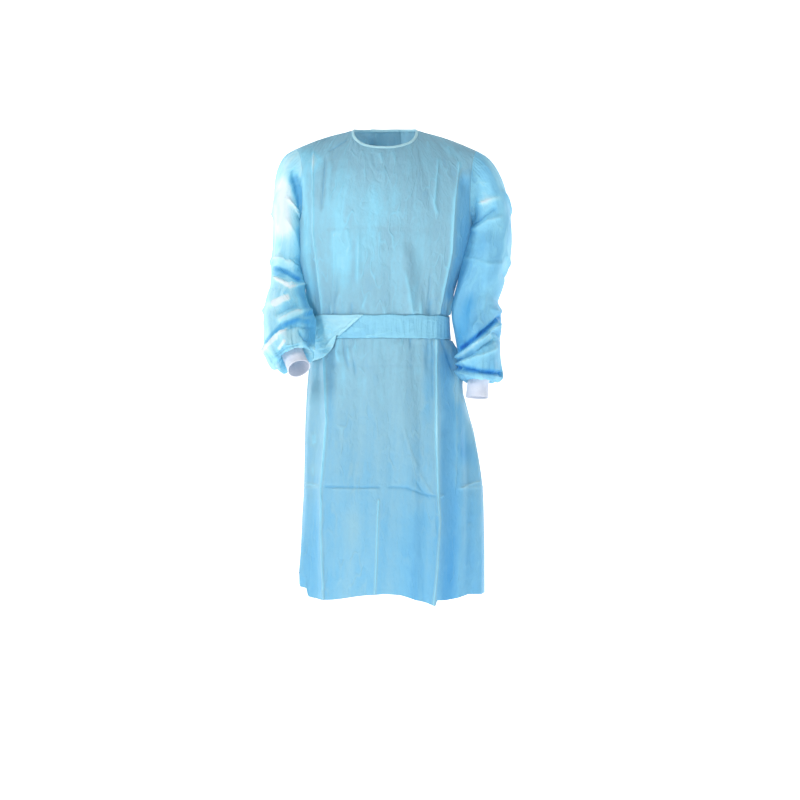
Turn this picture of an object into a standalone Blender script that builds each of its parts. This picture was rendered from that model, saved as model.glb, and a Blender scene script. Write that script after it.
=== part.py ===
"""Isolation gown, worn: front, two lapped backs, set-in sleeves, rib cuffs, bound neck and waist belt.

Metres, +Z up. The gown faces -Y, and its left side, as worn, is +X. The origin lies between the two ends
of the neckline on the shoulders, where the shoulders carry it. Every panel is a grid of points on the outer
face of the cloth, with columns round the body or sleeve and rows along it, and a wall set inwards from it.
"""
import math

import bpy
import numpy as np

# Cloth and seams
CLOTH_WALL = 0.0015
CUFF_WALL = 0.0020
BINDING_WALL = 0.0026
SEAM_GAP = 0.0003
BELT_LIFT = 0.0008
OPENED_LIFT = 0.0032

# Heights and neckline
HEM_HEIGHT = -1.130
ARMPIT_HEIGHT = -0.240
BELT_LOW = -0.514
BELT_MIDDLE = -0.486
BELT_HIGH = -0.457
NECK_HALF_WIDTH = 0.081
NECK_SIDE_HEIGHT = -0.004
NECK_FRONT_DEPTH = 0.078
NECK_FRONT_DROP = 0.053
NECK_BACK_DEPTH = 0.072
NECK_BACK_RISE = 0.008
NECK_SQUARENESS = 2.3
BINDING_WIDTH = 0.0068
SHOULDER_CROWN = 0.005

# Back opening
LAP_HEM_DEGREES = 17.0
LAP_TOP_DEGREES = 11.0
LAP_RISE = 0.0042
LAP_EASE_DEGREES = 16.0
BACK_NECK_BEARING = 45.0

# Grid counts
SHOULDER_COLUMNS = 12
CORNER_COLUMN = 6
NECK_COLUMNS = 12
BACK_NECK_COLUMNS = 5
LAP_COLUMNS = 2
CAP_ROWS = 8
UPPER_ROWS = 8
SLEEVE_COLUMNS = 4 * UPPER_ROWS
SLEEVE_SECTION_ROWS = 9
CURL_ROWS = 5
CUFF_ROWS = 3
ROW_HEIGHTS = (-1.130, -1.085, -1.02, -0.95, -0.88, -0.81, -0.74, -0.67, -0.61, -0.56, BELT_LOW,
               BELT_MIDDLE, BELT_HIGH, -0.40, -0.345, -0.29, ARMPIT_HEIGHT)
FRONT_COLUMNS = 2 * SHOULDER_COLUMNS + NECK_COLUMNS
BACK_COLUMNS = SHOULDER_COLUMNS + BACK_NECK_COLUMNS + LAP_COLUMNS
LOWER_ROWS = len(ROW_HEIGHTS) - 1
PANEL_ROWS = LOWER_ROWS + UPPER_ROWS
BELT_ROW = ROW_HEIGHTS.index(BELT_HIGH)
KNOT_COLUMN = SHOULDER_COLUMNS + BACK_NECK_COLUMNS

# Sections of the body: right and left are the widest points, widest_at is how far forward they lie
BODY_COLUMNS = ("height", "right", "left", "front", "back", "widest_at", "squareness")
BODY_SECTIONS = (
    (-1.130, -0.209, 0.243, -0.154, 0.150, 0.000, 2.15),
    (-0.980, -0.203, 0.242, -0.152, 0.146, 0.000, 2.15),
    (-0.860, -0.197, 0.237, -0.148, 0.140, 0.000, 2.15),
    (-0.740, -0.195, 0.216, -0.142, 0.130, 0.000, 2.10),
    (-0.620, -0.189, 0.184, -0.134, 0.117, -0.004, 2.05),
    (-0.514, -0.179, 0.158, -0.126, 0.104, -0.010, 2.00),
    (-0.457, -0.179, 0.155, -0.124, 0.101, -0.014, 2.00),
    (-0.380, -0.195, 0.174, -0.126, 0.106, -0.018, 2.05),
    (-0.310, -0.205, 0.194, -0.128, 0.111, -0.018, 2.10),
    (-0.240, -0.206, 0.209, -0.127, 0.113, -0.010, 2.20),
)

# The front's two long corner creases: their distance from the middle and how far they stand out
CORNER_TABLE_COLUMNS = ("height", "right", "left", "right_rise", "left_rise")
CORNER_CREASES = (
    (-1.130, -0.142, 0.114, 0.013, 0.019),
    (-0.950, -0.146, 0.130, 0.011, 0.015),
    (-0.860, -0.148, 0.127, 0.010, 0.013),
    (-0.740, -0.138, 0.122, 0.009, 0.012),
    (-0.600, -0.137, 0.120, 0.006, 0.011),
    (-0.514, -0.138, 0.120, 0.003, 0.004),
    (-0.457, -0.148, 0.126, 0.003, 0.003),
    (-0.330, -0.168, 0.155, 0.006, 0.008),
    (-0.240, -0.172, 0.163, 0.008, 0.010),
)
CORNER_TOP_RIGHT = -0.176
CORNER_TOP_LEFT = 0.184
CORNER_TOP_RISE = 0.003
CORNER_WIDTH = 0.042
MIDDLE_CREASE_HEM = -0.022

# The hem's height round the body, by bearing: 0 is the left side, 90 the middle of the back, 270 the front
HEM_COLUMNS = ("bearing", "height")
HEM_LEVELS = (
    (0.0, -1.130), (45.0, -1.118), (90.0, -1.108), (140.0, -1.094), (172.0, -1.100), (190.0, -1.116),
    (215.0, -1.131), (232.0, -1.133), (262.0, -1.119), (288.0, -1.118), (304.0, -1.141), (330.0, -1.134),
    (360.0, -1.130),
)

# Shoulder tips, and how far the armholes' edges swell to the front and back and in towards the middle
ARMHOLE_COLUMNS = (
    "side", "tip_out", "tip_height", "front_swell", "back_swell", "front_inward", "back_inward",
)
ARMHOLES = (
    ("right", 0.222, -0.050, 0.052, 0.056, 0.014, 0.008),
    ("left", 0.227, -0.054, 0.052, 0.056, 0.008, 0.008),
)
ARMHOLE_ROUNDNESS = 0.75

# Folds pressed into the panels: across is the distance from the middle, at the fold's top and foot
FOLD_COLUMNS = ("top_across", "top", "foot_across", "foot", "width", "rise", "ease_top", "ease_foot")
FRONT_FOLDS = (
    (-0.010, -0.880, MIDDLE_CREASE_HEM, -1.135, 0.024, 0.004, 0.030, 0.000),
    (-0.197, -0.930, -0.188, -1.135, 0.020, 0.010, 0.060, 0.000),
    (0.106, -0.514, 0.103, -0.600, 0.018, -0.008, 0.004, 0.040),
    (0.140, -0.514, 0.146, -0.600, 0.018, -0.008, 0.004, 0.040),
    (-0.112, -0.514, -0.100, -0.600, 0.016, 0.005, 0.004, 0.040),
    (-0.080, -0.514, -0.074, -0.620, 0.018, 0.005, 0.004, 0.050),
    (0.044, -0.270, 0.064, -0.452, 0.026, 0.007, 0.060, 0.010),
    (-0.062, -0.240, -0.066, -0.400, 0.016, 0.004, 0.030, 0.040),
    (0.100, -0.380, 0.094, -0.457, 0.022, 0.005, 0.040, 0.004),
    (-0.100, -0.360, -0.104, -0.457, 0.022, 0.005, 0.040, 0.004),
    (0.205, -0.660, 0.215, -1.135, 0.040, 0.008, 0.100, 0.000),
    (-0.030, -0.640, -0.060, -0.860, 0.050, -0.005, 0.080, 0.080),
    (0.060, -0.620, 0.070, -0.900, 0.050, 0.006, 0.080, 0.080),
)
BACK_FOLDS = (
    (0.150, -0.280, 0.118, -0.457, 0.032, 0.008, 0.060, 0.004),
    (0.100, -0.200, 0.092, -0.457, 0.024, 0.007, 0.080, 0.004),
    (0.136, -0.514, 0.172, -1.120, 0.034, 0.011, 0.004, 0.000),
    (0.096, -0.514, 0.112, -1.120, 0.026, 0.010, 0.004, 0.000),
    (0.155, -0.514, 0.200, -0.960, 0.026, 0.007, 0.004, 0.120),
    (0.120, -0.060, 0.130, -0.230, 0.030, 0.005, 0.040, 0.060),
)

# Sections of the sleeves: out is away from the body, leans are degrees forwards and outwards
SLEEVE_TABLE_COLUMNS = ("height", "out", "fore", "lean_fore", "lean_out", "half_width", "half_depth")
SLEEVES = {
    "left": (
        (-0.310, 0.2535, 0.000, 4.0, 0.0, 0.0515, 0.074),
        (-0.370, 0.2415, 0.008, 8.0, -9.0, 0.0510, 0.071),
        (-0.418, 0.2270, 0.016, 10.0, -5.0, 0.0490, 0.068),
        (-0.450, 0.2270, 0.024, 12.0, 0.0, 0.0540, 0.067),
        (-0.510, 0.2255, 0.038, 12.0, 2.0, 0.0540, 0.065),
        (-0.560, 0.2280, 0.050, 10.0, 2.0, 0.0510, 0.062),
        (-0.600, 0.2300, 0.058, 6.0, -2.0, 0.0520, 0.058),
    ),
    "right": (
        (-0.305, 0.2390, -0.028, 2.0, 0.0, 0.0370, 0.076),
        (-0.350, 0.2415, -0.022, 16.0, 0.0, 0.0385, 0.074),
        (-0.392, 0.2380, 0.004, 34.0, 0.0, 0.0430, 0.068),
        (-0.436, 0.2360, 0.048, 40.0, -4.0, 0.0530, 0.061),
        (-0.484, 0.2260, 0.095, 42.0, -8.0, 0.0630, 0.057),
        (-0.524, 0.2240, 0.132, 40.0, -14.0, 0.0610, 0.054),
        (-0.546, 0.2180, 0.152, 38.0, -20.0, 0.0560, 0.051),
    ),
}
CAP_LEAVING = (0.95, 0.0, -0.31)
ONWARD_SHARE = 0.7
CAP_PULL = 0.90
BLOUSE_DEPTH = 0.014
SEAM_BACK_UP = 0.016

CUFF_HALF_WIDTH = 0.0262
CUFF_HALF_DEPTH = 0.0292
CUFF_LENGTH = 0.056
CUFF_FLARE = 0.0012

# Folds across the sleeves: turn is degrees round from the outer side over the front, along is 0 to 1
SLEEVE_FOLD_COLUMNS = ("turn", "along", "end_turn", "end_along", "width", "rise")
SLEEVE_FOLDS = {
    "left": (
        (20.0, 0.52, 170.0, 0.86, 0.016, 0.008),
        (20.0, 0.62, 165.0, 0.90, 0.014, -0.006),
        (0.0, 0.80, 150.0, 0.92, 0.014, 0.006),
        (10.0, 0.24, 110.0, 0.10, 0.020, 0.006),
        (220.0, 0.45, 330.0, 0.62, 0.020, 0.006),
        (200.0, 0.85, 350.0, 0.72, 0.018, 0.006),
    ),
    "right": (
        (20.0, 0.46, 120.0, 0.56, 0.018, 0.007),
        (10.0, 0.74, 130.0, 0.58, 0.018, 0.007),
        (30.0, 0.90, 140.0, 0.72, 0.016, -0.006),
        (60.0, 0.06, 150.0, 0.34, 0.018, 0.006),
        (190.0, 0.55, 320.0, 0.48, 0.020, -0.006),
        (200.0, 0.72, 340.0, 0.80, 0.020, 0.006),
    ),
}
GATHERS = 8
GATHER_RISE = 0.0032
GATHER_START = 0.80

# The belt's opened stretch at the right: the fold that it starts from, then its edges by bearing
TURN_TOP_ACROSS = -0.059
TURN_FOOT_ACROSS = -0.116
TURN_OVERLAP = 0.010
OPENED_COLUMNS = ("bearing", "low", "high")
OPENED_EDGES = (
    (235.0, -0.509, -0.457), (225.0, -0.530, -0.456), (214.0, -0.556, -0.455), (200.0, -0.566, -0.458),
    (180.0, -0.566, -0.470), (150.0, -0.548, -0.474), (120.0, -0.524, -0.460), (100.0, -0.512, -0.458),
)

# Ties at the back: the belt's knot between its two ends, the neck's knot below the binding, and their tails
KNOT_RIGHT_END = -0.0425
KNOT_LEFT_END = 0.0125
KNOT_HIGH = -0.464
KNOT_LOW = -0.506
KNOT_DEPTH = 0.022
KNOT_EDGE_DEPTH = 0.005
NECK_KNOT_RIGHT_END = -0.021
NECK_KNOT_LEFT_END = -0.003
NECK_KNOT_HIGH = -0.004
NECK_KNOT_LOW = -0.017
NECK_KNOT_DEPTH = 0.008
NECK_KNOT_EDGE_DEPTH = 0.0035
TAIL_LIFT = 0.0014
TAIL_ROWS = 10
TAIL_COLUMNS = (
    "name", "top_right", "top_left", "foot_right", "foot_left", "top", "foot_right_z", "foot_left_z",
)
BELT_TAILS = (
    ("belt_end_right", -0.0395, -0.0170, -0.064, -0.018, KNOT_LOW - SEAM_GAP, -0.742, -0.752),
    ("belt_end_left", -0.0130, 0.0095, -0.006, 0.044, KNOT_LOW - SEAM_GAP, -0.806, -0.796),
)
NECK_TAILS = (
    ("neck_tie_right", -0.0196, -0.0128, -0.0262, -0.0192, NECK_KNOT_LOW - SEAM_GAP, -0.172, -0.174),
    ("neck_tie_left", -0.0112, -0.0044, -0.0016, 0.0054, NECK_KNOT_LOW - SEAM_GAP, -0.192, -0.190),
)

# Finishes
CLOTH_COLOUR = (0.42, 0.68, 0.86)
CUFF_COLOUR = (0.86, 0.89, 0.94)
CLOTH_ROUGHNESS = 0.62
CUFF_ROUGHNESS = 0.85


def clear_scene():
    for item in list(bpy.data.objects):
        bpy.data.objects.remove(item, do_unlink=True)


def make_material(name, colour, roughness):
    material = bpy.data.materials.new(name)
    material.use_nodes = True
    shader = material.node_tree.nodes["Principled BSDF"]
    shader.inputs["Base Color"].default_value = (*colour, 1.0)
    shader.inputs["Roughness"].default_value = roughness
    shader.inputs["Metallic"].default_value = 0.0
    return material


def read_curve(columns, rows, name, places, key=None):
    """One named column of a table at the places asked for, on a smooth curve through its rows.

    The curve is made of cubics whose slope at each row is that of the line between its neighbours."""
    key = key or columns[0]
    table = np.array(sorted(rows), dtype=float)
    at = table[:, columns.index(key)]
    value = table[:, columns.index(name)]
    slope = np.gradient(value, at)
    places = np.clip(np.asarray(places, dtype=float), at[0], at[-1])
    i = np.clip(np.searchsorted(at, places, side="right") - 1, 0, len(at) - 2)
    span = at[i + 1] - at[i]
    t = (places - at[i]) / span
    rise = (2 * t ** 3 - 3 * t ** 2 + 1) * value[i] + (3 * t ** 2 - 2 * t ** 3) * value[i + 1]
    bend = (t ** 3 - 2 * t ** 2 + t) * slope[i] + (t ** 3 - t ** 2) * slope[i + 1]
    return rise + bend * span


def smooth_step(t):
    t = np.clip(t, 0.0, 1.0)
    return t * t * (3.0 - 2.0 * t)


def unit(vectors):
    return vectors / np.maximum(np.linalg.norm(vectors, axis=-1, keepdims=True), 1e-12)


def body_section(height):
    names = BODY_COLUMNS[1:]
    return {name: read_curve(BODY_COLUMNS, BODY_SECTIONS, name, height) for name in names}


def body_ring(height, bearing):
    """Points of the body at a height: a squared oval whose four quarters have their own reach."""
    section = body_section(height)
    power = 2.0 / section["squareness"]
    east = np.cos(bearing)
    north = np.sin(bearing)
    reach = np.where(east > 0, section["left"], -section["right"])
    forward = section["widest_at"] - section["front"]
    depth = np.where(north < 0, forward, section["back"] - section["widest_at"])
    x = np.sign(east) * reach * np.abs(east) ** power
    y = section["widest_at"] + np.sign(north) * depth * np.abs(north) ** power
    return x, y


def front_bearing(height, across):
    """The bearing at which the front's ring reaches a distance from the middle."""
    section = body_section(height)
    reach = np.where(across > 0, section["left"], -section["right"])
    share = np.clip(np.abs(across) / reach, 0.0, 1.0) ** (section["squareness"] / 2.0)
    return 2.0 * math.pi - np.arccos(np.sign(across) * share)


def front_bearings(height):
    """A bearing for each column of the front: the corner and middle creases have their own columns."""
    corner = {}
    for side in ("right", "left"):
        corner[side] = float(read_curve(CORNER_TABLE_COLUMNS, CORNER_CREASES, side, height))
    low = smooth_step((BELT_LOW - height) / (BELT_LOW - HEM_HEIGHT))
    stations = [
        (0, math.pi),
        (CORNER_COLUMN, float(front_bearing(height, corner["right"]))),
        (FRONT_COLUMNS // 2, float(front_bearing(height, MIDDLE_CREASE_HEM * low - 1e-9))),
        (FRONT_COLUMNS - CORNER_COLUMN, float(front_bearing(height, corner["left"]))),
        (FRONT_COLUMNS, 2.0 * math.pi),
    ]
    return np.interp(np.arange(FRONT_COLUMNS + 1), [s[0] for s in stations], [s[1] for s in stations])


def lap_degrees(height):
    share = smooth_step((height - HEM_HEIGHT) / (ARMPIT_HEIGHT - HEM_HEIGHT))
    return LAP_HEM_DEGREES + (LAP_TOP_DEGREES - LAP_HEM_DEGREES) * share


def back_bearings(side, height):
    """A bearing for each column of a back panel, from its side seam to past the middle of the back."""
    stations = (
        (0, 0.0),
        (SHOULDER_COLUMNS, BACK_NECK_BEARING),
        (SHOULDER_COLUMNS + BACK_NECK_COLUMNS, 90.0),
        (BACK_COLUMNS, 90.0 + float(lap_degrees(height))),
    )
    bearing = np.interp(np.arange(BACK_COLUMNS + 1), [s[0] for s in stations], [s[1] for s in stations])
    return np.radians(bearing if side == "left" else 180.0 - bearing[::-1])


def armhole(side):
    row = next(row for row in ARMHOLES if row[0] == side)
    return dict(zip(ARMHOLE_COLUMNS, row))


def shoulder_line(side, share):
    """Points of the shoulder seam, share 0 at its tip and 1 at the neck, crowned a little in the middle."""
    hole = armhole(side)
    hand = -1.0 if side == "right" else 1.0
    x = hand * (hole["tip_out"] + (NECK_HALF_WIDTH - hole["tip_out"]) * share)
    z = hole["tip_height"] + (NECK_SIDE_HEIGHT - hole["tip_height"]) * share
    z = z + SHOULDER_CROWN * np.sin(math.pi * share)
    return np.stack([x, np.zeros_like(x), z], axis=-1)


def shoulder_shares(side):
    """Shares of the shoulder's columns, with the corner crease's column where that crease ends."""
    hole = armhole(side)
    corner = abs(CORNER_TOP_RIGHT if side == "right" else CORNER_TOP_LEFT)
    at_corner = (hole["tip_out"] - corner) / (hole["tip_out"] - NECK_HALF_WIDTH)
    known = [0, CORNER_COLUMN, SHOULDER_COLUMNS]
    return np.interp(np.arange(SHOULDER_COLUMNS + 1), known, [0.0, at_corner, 1.0])


def neck_curve(turn, depth, drop):
    """Neckline points by turn, 0 at the left end and pi at the right, a squared half oval."""
    power = 2.0 / NECK_SQUARENESS
    x = NECK_HALF_WIDTH * np.sign(np.cos(turn)) * np.abs(np.cos(turn)) ** power
    lean = np.abs(np.sin(turn)) ** power
    return np.stack([x, depth * lean, NECK_SIDE_HEIGHT + drop * lean], axis=-1)


def front_top():
    right = shoulder_line("right", shoulder_shares("right"))
    left = shoulder_line("left", shoulder_shares("left"))[::-1]
    turn = np.linspace(math.pi, 0.0, NECK_COLUMNS + 1)[1:-1]
    neck = neck_curve(turn, -NECK_FRONT_DEPTH, -NECK_FRONT_DROP)
    return np.concatenate([right, neck, left])


def back_top(side):
    shoulder = shoulder_line(side, shoulder_shares(side))
    bearing = np.degrees(back_bearings("left", ARMPIT_HEIGHT))[SHOULDER_COLUMNS + 1:]
    turn = np.radians((bearing - BACK_NECK_BEARING) * 90.0 / (90.0 - BACK_NECK_BEARING))
    if side == "left":
        return np.concatenate([shoulder, neck_curve(turn, NECK_BACK_DEPTH, NECK_BACK_RISE)])
    neck = neck_curve(math.pi - turn, NECK_BACK_DEPTH, NECK_BACK_RISE)
    return np.concatenate([neck[::-1], shoulder[::-1]])


def rise_to_top(foot, top, arc_degrees):
    """Rows from the armpit ring up to a panel's top edge, each column on an arc of so many degrees."""
    t = np.linspace(0.0, 1.0, UPPER_ROWS + 1)[1:, None]
    arc = np.radians(arc_degrees)[None, :]
    up = np.sin(arc * t) / np.sin(arc)
    over = (1.0 - np.cos(arc * t)) / (1.0 - np.cos(arc))
    x = foot[:, 0] + (top[:, 0] - foot[:, 0]) * (0.6 * over + 0.4 * up)
    y = foot[:, 1] + (top[:, 1] - foot[:, 1]) * over
    z = foot[:, 2] + (top[:, 2] - foot[:, 2]) * up
    return np.stack([x, y, z], axis=-1)


def open_armhole(rows, side, face, from_side):
    """Swells the side of a panel forwards or backwards round the armhole, less away from its edge."""
    hole = armhole(side)
    hand = -1.0 if side == "right" else 1.0
    reach = CORNER_COLUMN if face == "front" else SHOULDER_COLUMNS
    share = np.linspace(0.0, 1.0, UPPER_ROWS + 1)[1:]
    swell = np.clip(np.sin(math.pi * share), 0.0, 1.0) ** ARMHOLE_ROUNDNESS
    near = np.clip(1.0 - from_side / reach, 0.0, 1.0)
    way = -1.0 if face == "front" else 1.0
    rows[:, :, 1] += way * hole[face + "_swell"] * swell[:, None] * near[None, :]
    rows[:, :, 0] -= hand * hole[face + "_inward"] * swell[:, None] * near[None, :]


def lower_rows(bearings_at):
    """Rows from hem to armpit: the body's ring at each height, the hem drawn to its own level."""
    rows = []
    for height in ROW_HEIGHTS:
        bearing = bearings_at(height)
        x, y = body_ring(height, bearing)
        hem = read_curve(HEM_COLUMNS, HEM_LEVELS, "height", np.degrees(bearing))
        share = np.clip((BELT_LOW - height) / (BELT_LOW - HEM_HEIGHT), 0.0, 1.0) ** 3
        rows.append(np.stack([x, y, height + (hem - HEM_HEIGHT) * share], axis=-1))
    return np.array(rows)


def grid_normals(points, closed=False):
    """Unit normals of a grid: the cross product of its column and row directions, right hand outwards."""
    if closed:
        across = np.roll(points, -1, axis=1) - np.roll(points, 1, axis=1)
    else:
        across = np.gradient(points, axis=1)
    along = np.gradient(points, axis=0)
    return unit(np.cross(across, along))


def press_folds(points, folds, hand=1.0):
    """Raises or sinks tent-shaped folds in a panel along its normals.

    A fold's line crosses each row where the row reaches its distance from the middle, and its height falls
    evenly to nothing at its width to either side, measured along the row."""
    normals = grid_normals(points)
    heights = points[:, :, 2].mean(axis=1)
    step = np.linalg.norm(np.diff(points, axis=1), axis=2)
    along = np.concatenate([np.zeros((len(points), 1)), np.cumsum(step, axis=1)], axis=1)
    lift = np.zeros(points.shape[:2])
    for row in folds:
        fold = dict(zip(FOLD_COLUMNS, row))
        length = fold["top"] - fold["foot"]
        for r, height in enumerate(heights):
            share = (fold["top"] - height) / length
            if share < 0.0 or share > 1.0:
                continue
            across = fold["top_across"] + (fold["foot_across"] - fold["top_across"]) * share
            centre = np.interp(hand * across, hand * points[r, :, 0], along[r])
            tent = np.clip(1.0 - np.abs(along[r] - centre) / fold["width"], 0.0, 1.0)
            ease = smooth_step(share * length / max(fold["ease_top"], 1e-6))
            ease = ease * smooth_step((1.0 - share) * length / max(fold["ease_foot"], 1e-6))
            if share * length < 1e-6 and fold["ease_top"] == 0.0:
                ease = 1.0
            lift[r] += fold["rise"] * ease * tent
    return points + normals * lift[:, :, None]


def press_corners(points):
    """Raises the front's two long corner creases, which run from hem to shoulder on their own columns."""
    normals = grid_normals(points)
    step = np.linalg.norm(np.diff(points, axis=1), axis=2)
    along = np.concatenate([np.zeros((len(points), 1)), np.cumsum(step, axis=1)], axis=1)
    lift = np.zeros(points.shape[:2])
    for side, column in (("right", CORNER_COLUMN), ("left", FRONT_COLUMNS - CORNER_COLUMN)):
        rise = read_curve(CORNER_TABLE_COLUMNS, CORNER_CREASES, side + "_rise", points[:, column, 2])
        upper = np.linspace(0.0, 1.0, UPPER_ROWS + 1)[1:]
        rise[LOWER_ROWS + 1:] = rise[LOWER_ROWS] + (CORNER_TOP_RISE - rise[LOWER_ROWS]) * upper
        rise[-1] = 0.0
        away = np.abs(along - along[:, column:column + 1])
        lift += rise[:, None] * np.clip(1.0 - away / CORNER_WIDTH, 0.0, 1.0) ** 1.3
    lift[:, 0] = 0.0
    lift[:, -1] = 0.0
    return points + normals * lift[:, :, None]


def front_panel():
    lower = lower_rows(front_bearings)
    top = front_top()
    place = np.abs(np.arange(FRONT_COLUMNS + 1) - FRONT_COLUMNS / 2) / (FRONT_COLUMNS / 2)
    upper = rise_to_top(lower[-1], top, 62.0 + 28.0 * smooth_step(place * 1.3 - 0.3))
    column = np.arange(FRONT_COLUMNS + 1)
    open_armhole(upper, "right", "front", column)
    open_armhole(upper, "left", "front", FRONT_COLUMNS - column)
    points = press_corners(np.concatenate([lower, upper]))
    return press_folds(points, FRONT_FOLDS)


def back_panel(side):
    lower = lower_rows(lambda height: back_bearings(side, height))
    column = np.arange(BACK_COLUMNS + 1)
    from_side = column if side == "left" else BACK_COLUMNS - column
    from_middle = np.abs(np.degrees(back_bearings(side, ARMPIT_HEIGHT)) - 90.0) / 90.0
    arc = 52.0 + 38.0 * smooth_step(from_middle * 1.3)
    upper = rise_to_top(lower[-1], back_top(side), arc)
    open_armhole(upper, side, "back", from_side)
    hand = 1.0 if side == "left" else -1.0
    folds = tuple((hand * row[0], row[1], hand * row[2], *row[3:]) for row in BACK_FOLDS)
    points = press_folds(np.concatenate([lower, upper]), folds, hand=-1.0)
    if side == "left":
        heights = np.concatenate([ROW_HEIGHTS, np.full(UPPER_ROWS, ARMPIT_HEIGHT)])
        bearing = np.degrees([back_bearings(side, height) for height in heights])
        start = 90.0 - lap_degrees(heights)[:, None] - LAP_EASE_DEGREES
        rise = LAP_RISE * smooth_step((bearing - start) / LAP_EASE_DEGREES)
        points = points + grid_normals(points) * rise[:, :, None]
    return points


def share_edges(front, backs):
    """Gives the panels that meet at a seam the same points there."""
    backs["right"][:LOWER_ROWS + 1, -1] = front[:LOWER_ROWS + 1, 0]
    backs["left"][:LOWER_ROWS + 1, 0] = front[:LOWER_ROWS + 1, -1]
    for column in range(SHOULDER_COLUMNS + 1):
        backs["right"][-1, BACK_COLUMNS - column] = front[-1, column]
        backs["left"][-1, column] = front[-1, FRONT_COLUMNS - column]


def armhole_loop(front, back, side, inset=0):
    """Points from the shoulder tip down the armhole's front edge to the armpit and up its back edge.

    With an inset, the points lie that many columns in from the edge."""
    front_column = inset if side == "right" else -1 - inset
    back_column = -1 - inset if side == "right" else inset
    down = front[LOWER_ROWS:, front_column][::-1]
    up = back[LOWER_ROWS:, back_column]
    return np.concatenate([down, up[1:-1]])


def halve_steps(loop):
    """A closed loop with a point added half way along each of its sides."""
    between = (loop + np.roll(loop, -1, axis=0)) / 2.0
    return np.stack([loop, between], axis=1).reshape(-1, 3)


def sleeve_sections(side, shares):
    table = SLEEVES[side]
    place = np.linspace(0.0, 1.0, len(table))
    rows = tuple((place[i], *row) for i, row in enumerate(table))
    columns = ("along", *SLEEVE_TABLE_COLUMNS)
    return {name: read_curve(columns, rows, name, shares) for name in SLEEVE_TABLE_COLUMNS}


def sleeve_frame(lean_fore, lean_out):
    """The sleeve's direction and its two cross directions, out and back, for given leans in degrees."""
    fore = math.radians(lean_fore)
    out = math.radians(lean_out)
    axis = np.array([math.sin(out), -math.sin(fore) * math.cos(out), -math.cos(fore) * math.cos(out)])
    back = np.array([0.0, 1.0, 0.0])
    back = unit(back - axis * back.dot(axis))
    return axis, np.cross(axis, back), back


def oval(centre, frame, turn, half_width, half_depth):
    across = frame[1][None, :] * (half_width * np.cos(turn))[:, None]
    deep = frame[2][None, :] * (-half_depth * np.sin(turn))[:, None]
    return centre[None, :] + across + deep


def sleeve_rows(side, loop, inset_loop):
    """A sleeve on the +X side: a cap out of the armhole, sections down the arm and a curl to the cuff."""
    hand = np.array([-1.0 if side == "right" else 1.0, 1.0, 1.0])
    turn = np.arange(SLEEVE_COLUMNS) * 2.0 * math.pi / SLEEVE_COLUMNS
    sections = sleeve_sections(side, np.linspace(0.0, 1.0, SLEEVE_SECTION_ROWS + 1))
    rings = []
    for i in range(SLEEVE_SECTION_ROWS + 1):
        s = {name: float(values[i]) for name, values in sections.items()}
        frame = sleeve_frame(s["lean_fore"], s["lean_out"])
        centre = np.array([s["out"], -s["fore"], s["height"]])
        rings.append(oval(centre, frame, turn, s["half_width"], s["half_depth"]))
    start = loop * hand
    reach = np.linalg.norm(rings[0] - start, axis=1)[:, None]
    onwards = unit(start - inset_loop * hand)
    weight = ONWARD_SHARE * smooth_step(2.0 * np.abs(np.cos(turn / 2.0)) ** 0.5 - 0.4)[:, None]
    leave = unit(onwards * weight + np.array(CAP_LEAVING)[None, :] * (1.0 - weight)) * reach * CAP_PULL
    arrive = unit(rings[1] - rings[0]) * reach * CAP_PULL
    cap = []
    for t in np.linspace(0.0, 1.0, CAP_ROWS + 1)[:-1]:
        blend = (2 * t ** 3 - 3 * t ** 2 + 1) * start + (3 * t ** 2 - 2 * t ** 3) * rings[0]
        cap.append(blend + (t ** 3 - 2 * t ** 2 + t) * leave + (t ** 3 - t ** 2) * arrive)
    top, direction = cuff_top(side)
    frame = sleeve_frame(*direction)
    end_width = CUFF_HALF_WIDTH + SEAM_GAP
    end_depth = CUFF_HALF_DEPTH + SEAM_GAP
    curl = []
    for i in range(1, CURL_ROWS + 1):
        swing = math.pi * i / CURL_ROWS
        share = (1.0 - math.cos(swing)) / 2.0
        width = s["half_width"] + (end_width - s["half_width"]) * share
        depth = s["half_depth"] + (end_depth - s["half_depth"]) * share
        middle = centre + (top - centre) * share + frame[0] * BLOUSE_DEPTH * math.sin(swing)
        curl.append(oval(middle, frame, turn, width, depth))
    return np.array(cap + rings + curl)


def cuff_top(side):
    """The middle of the cuff's upper edge, hidden just above the sleeve's lowest cloth, and its leans."""
    last = dict(zip(SLEEVE_TABLE_COLUMNS, SLEEVES[side][-1]))
    direction = (last["lean_fore"], last["lean_out"])
    axis = sleeve_frame(*direction)[0]
    centre = np.array([last["out"], -last["fore"], last["height"]])
    return centre + axis * (BLOUSE_DEPTH - SEAM_BACK_UP), direction


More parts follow.
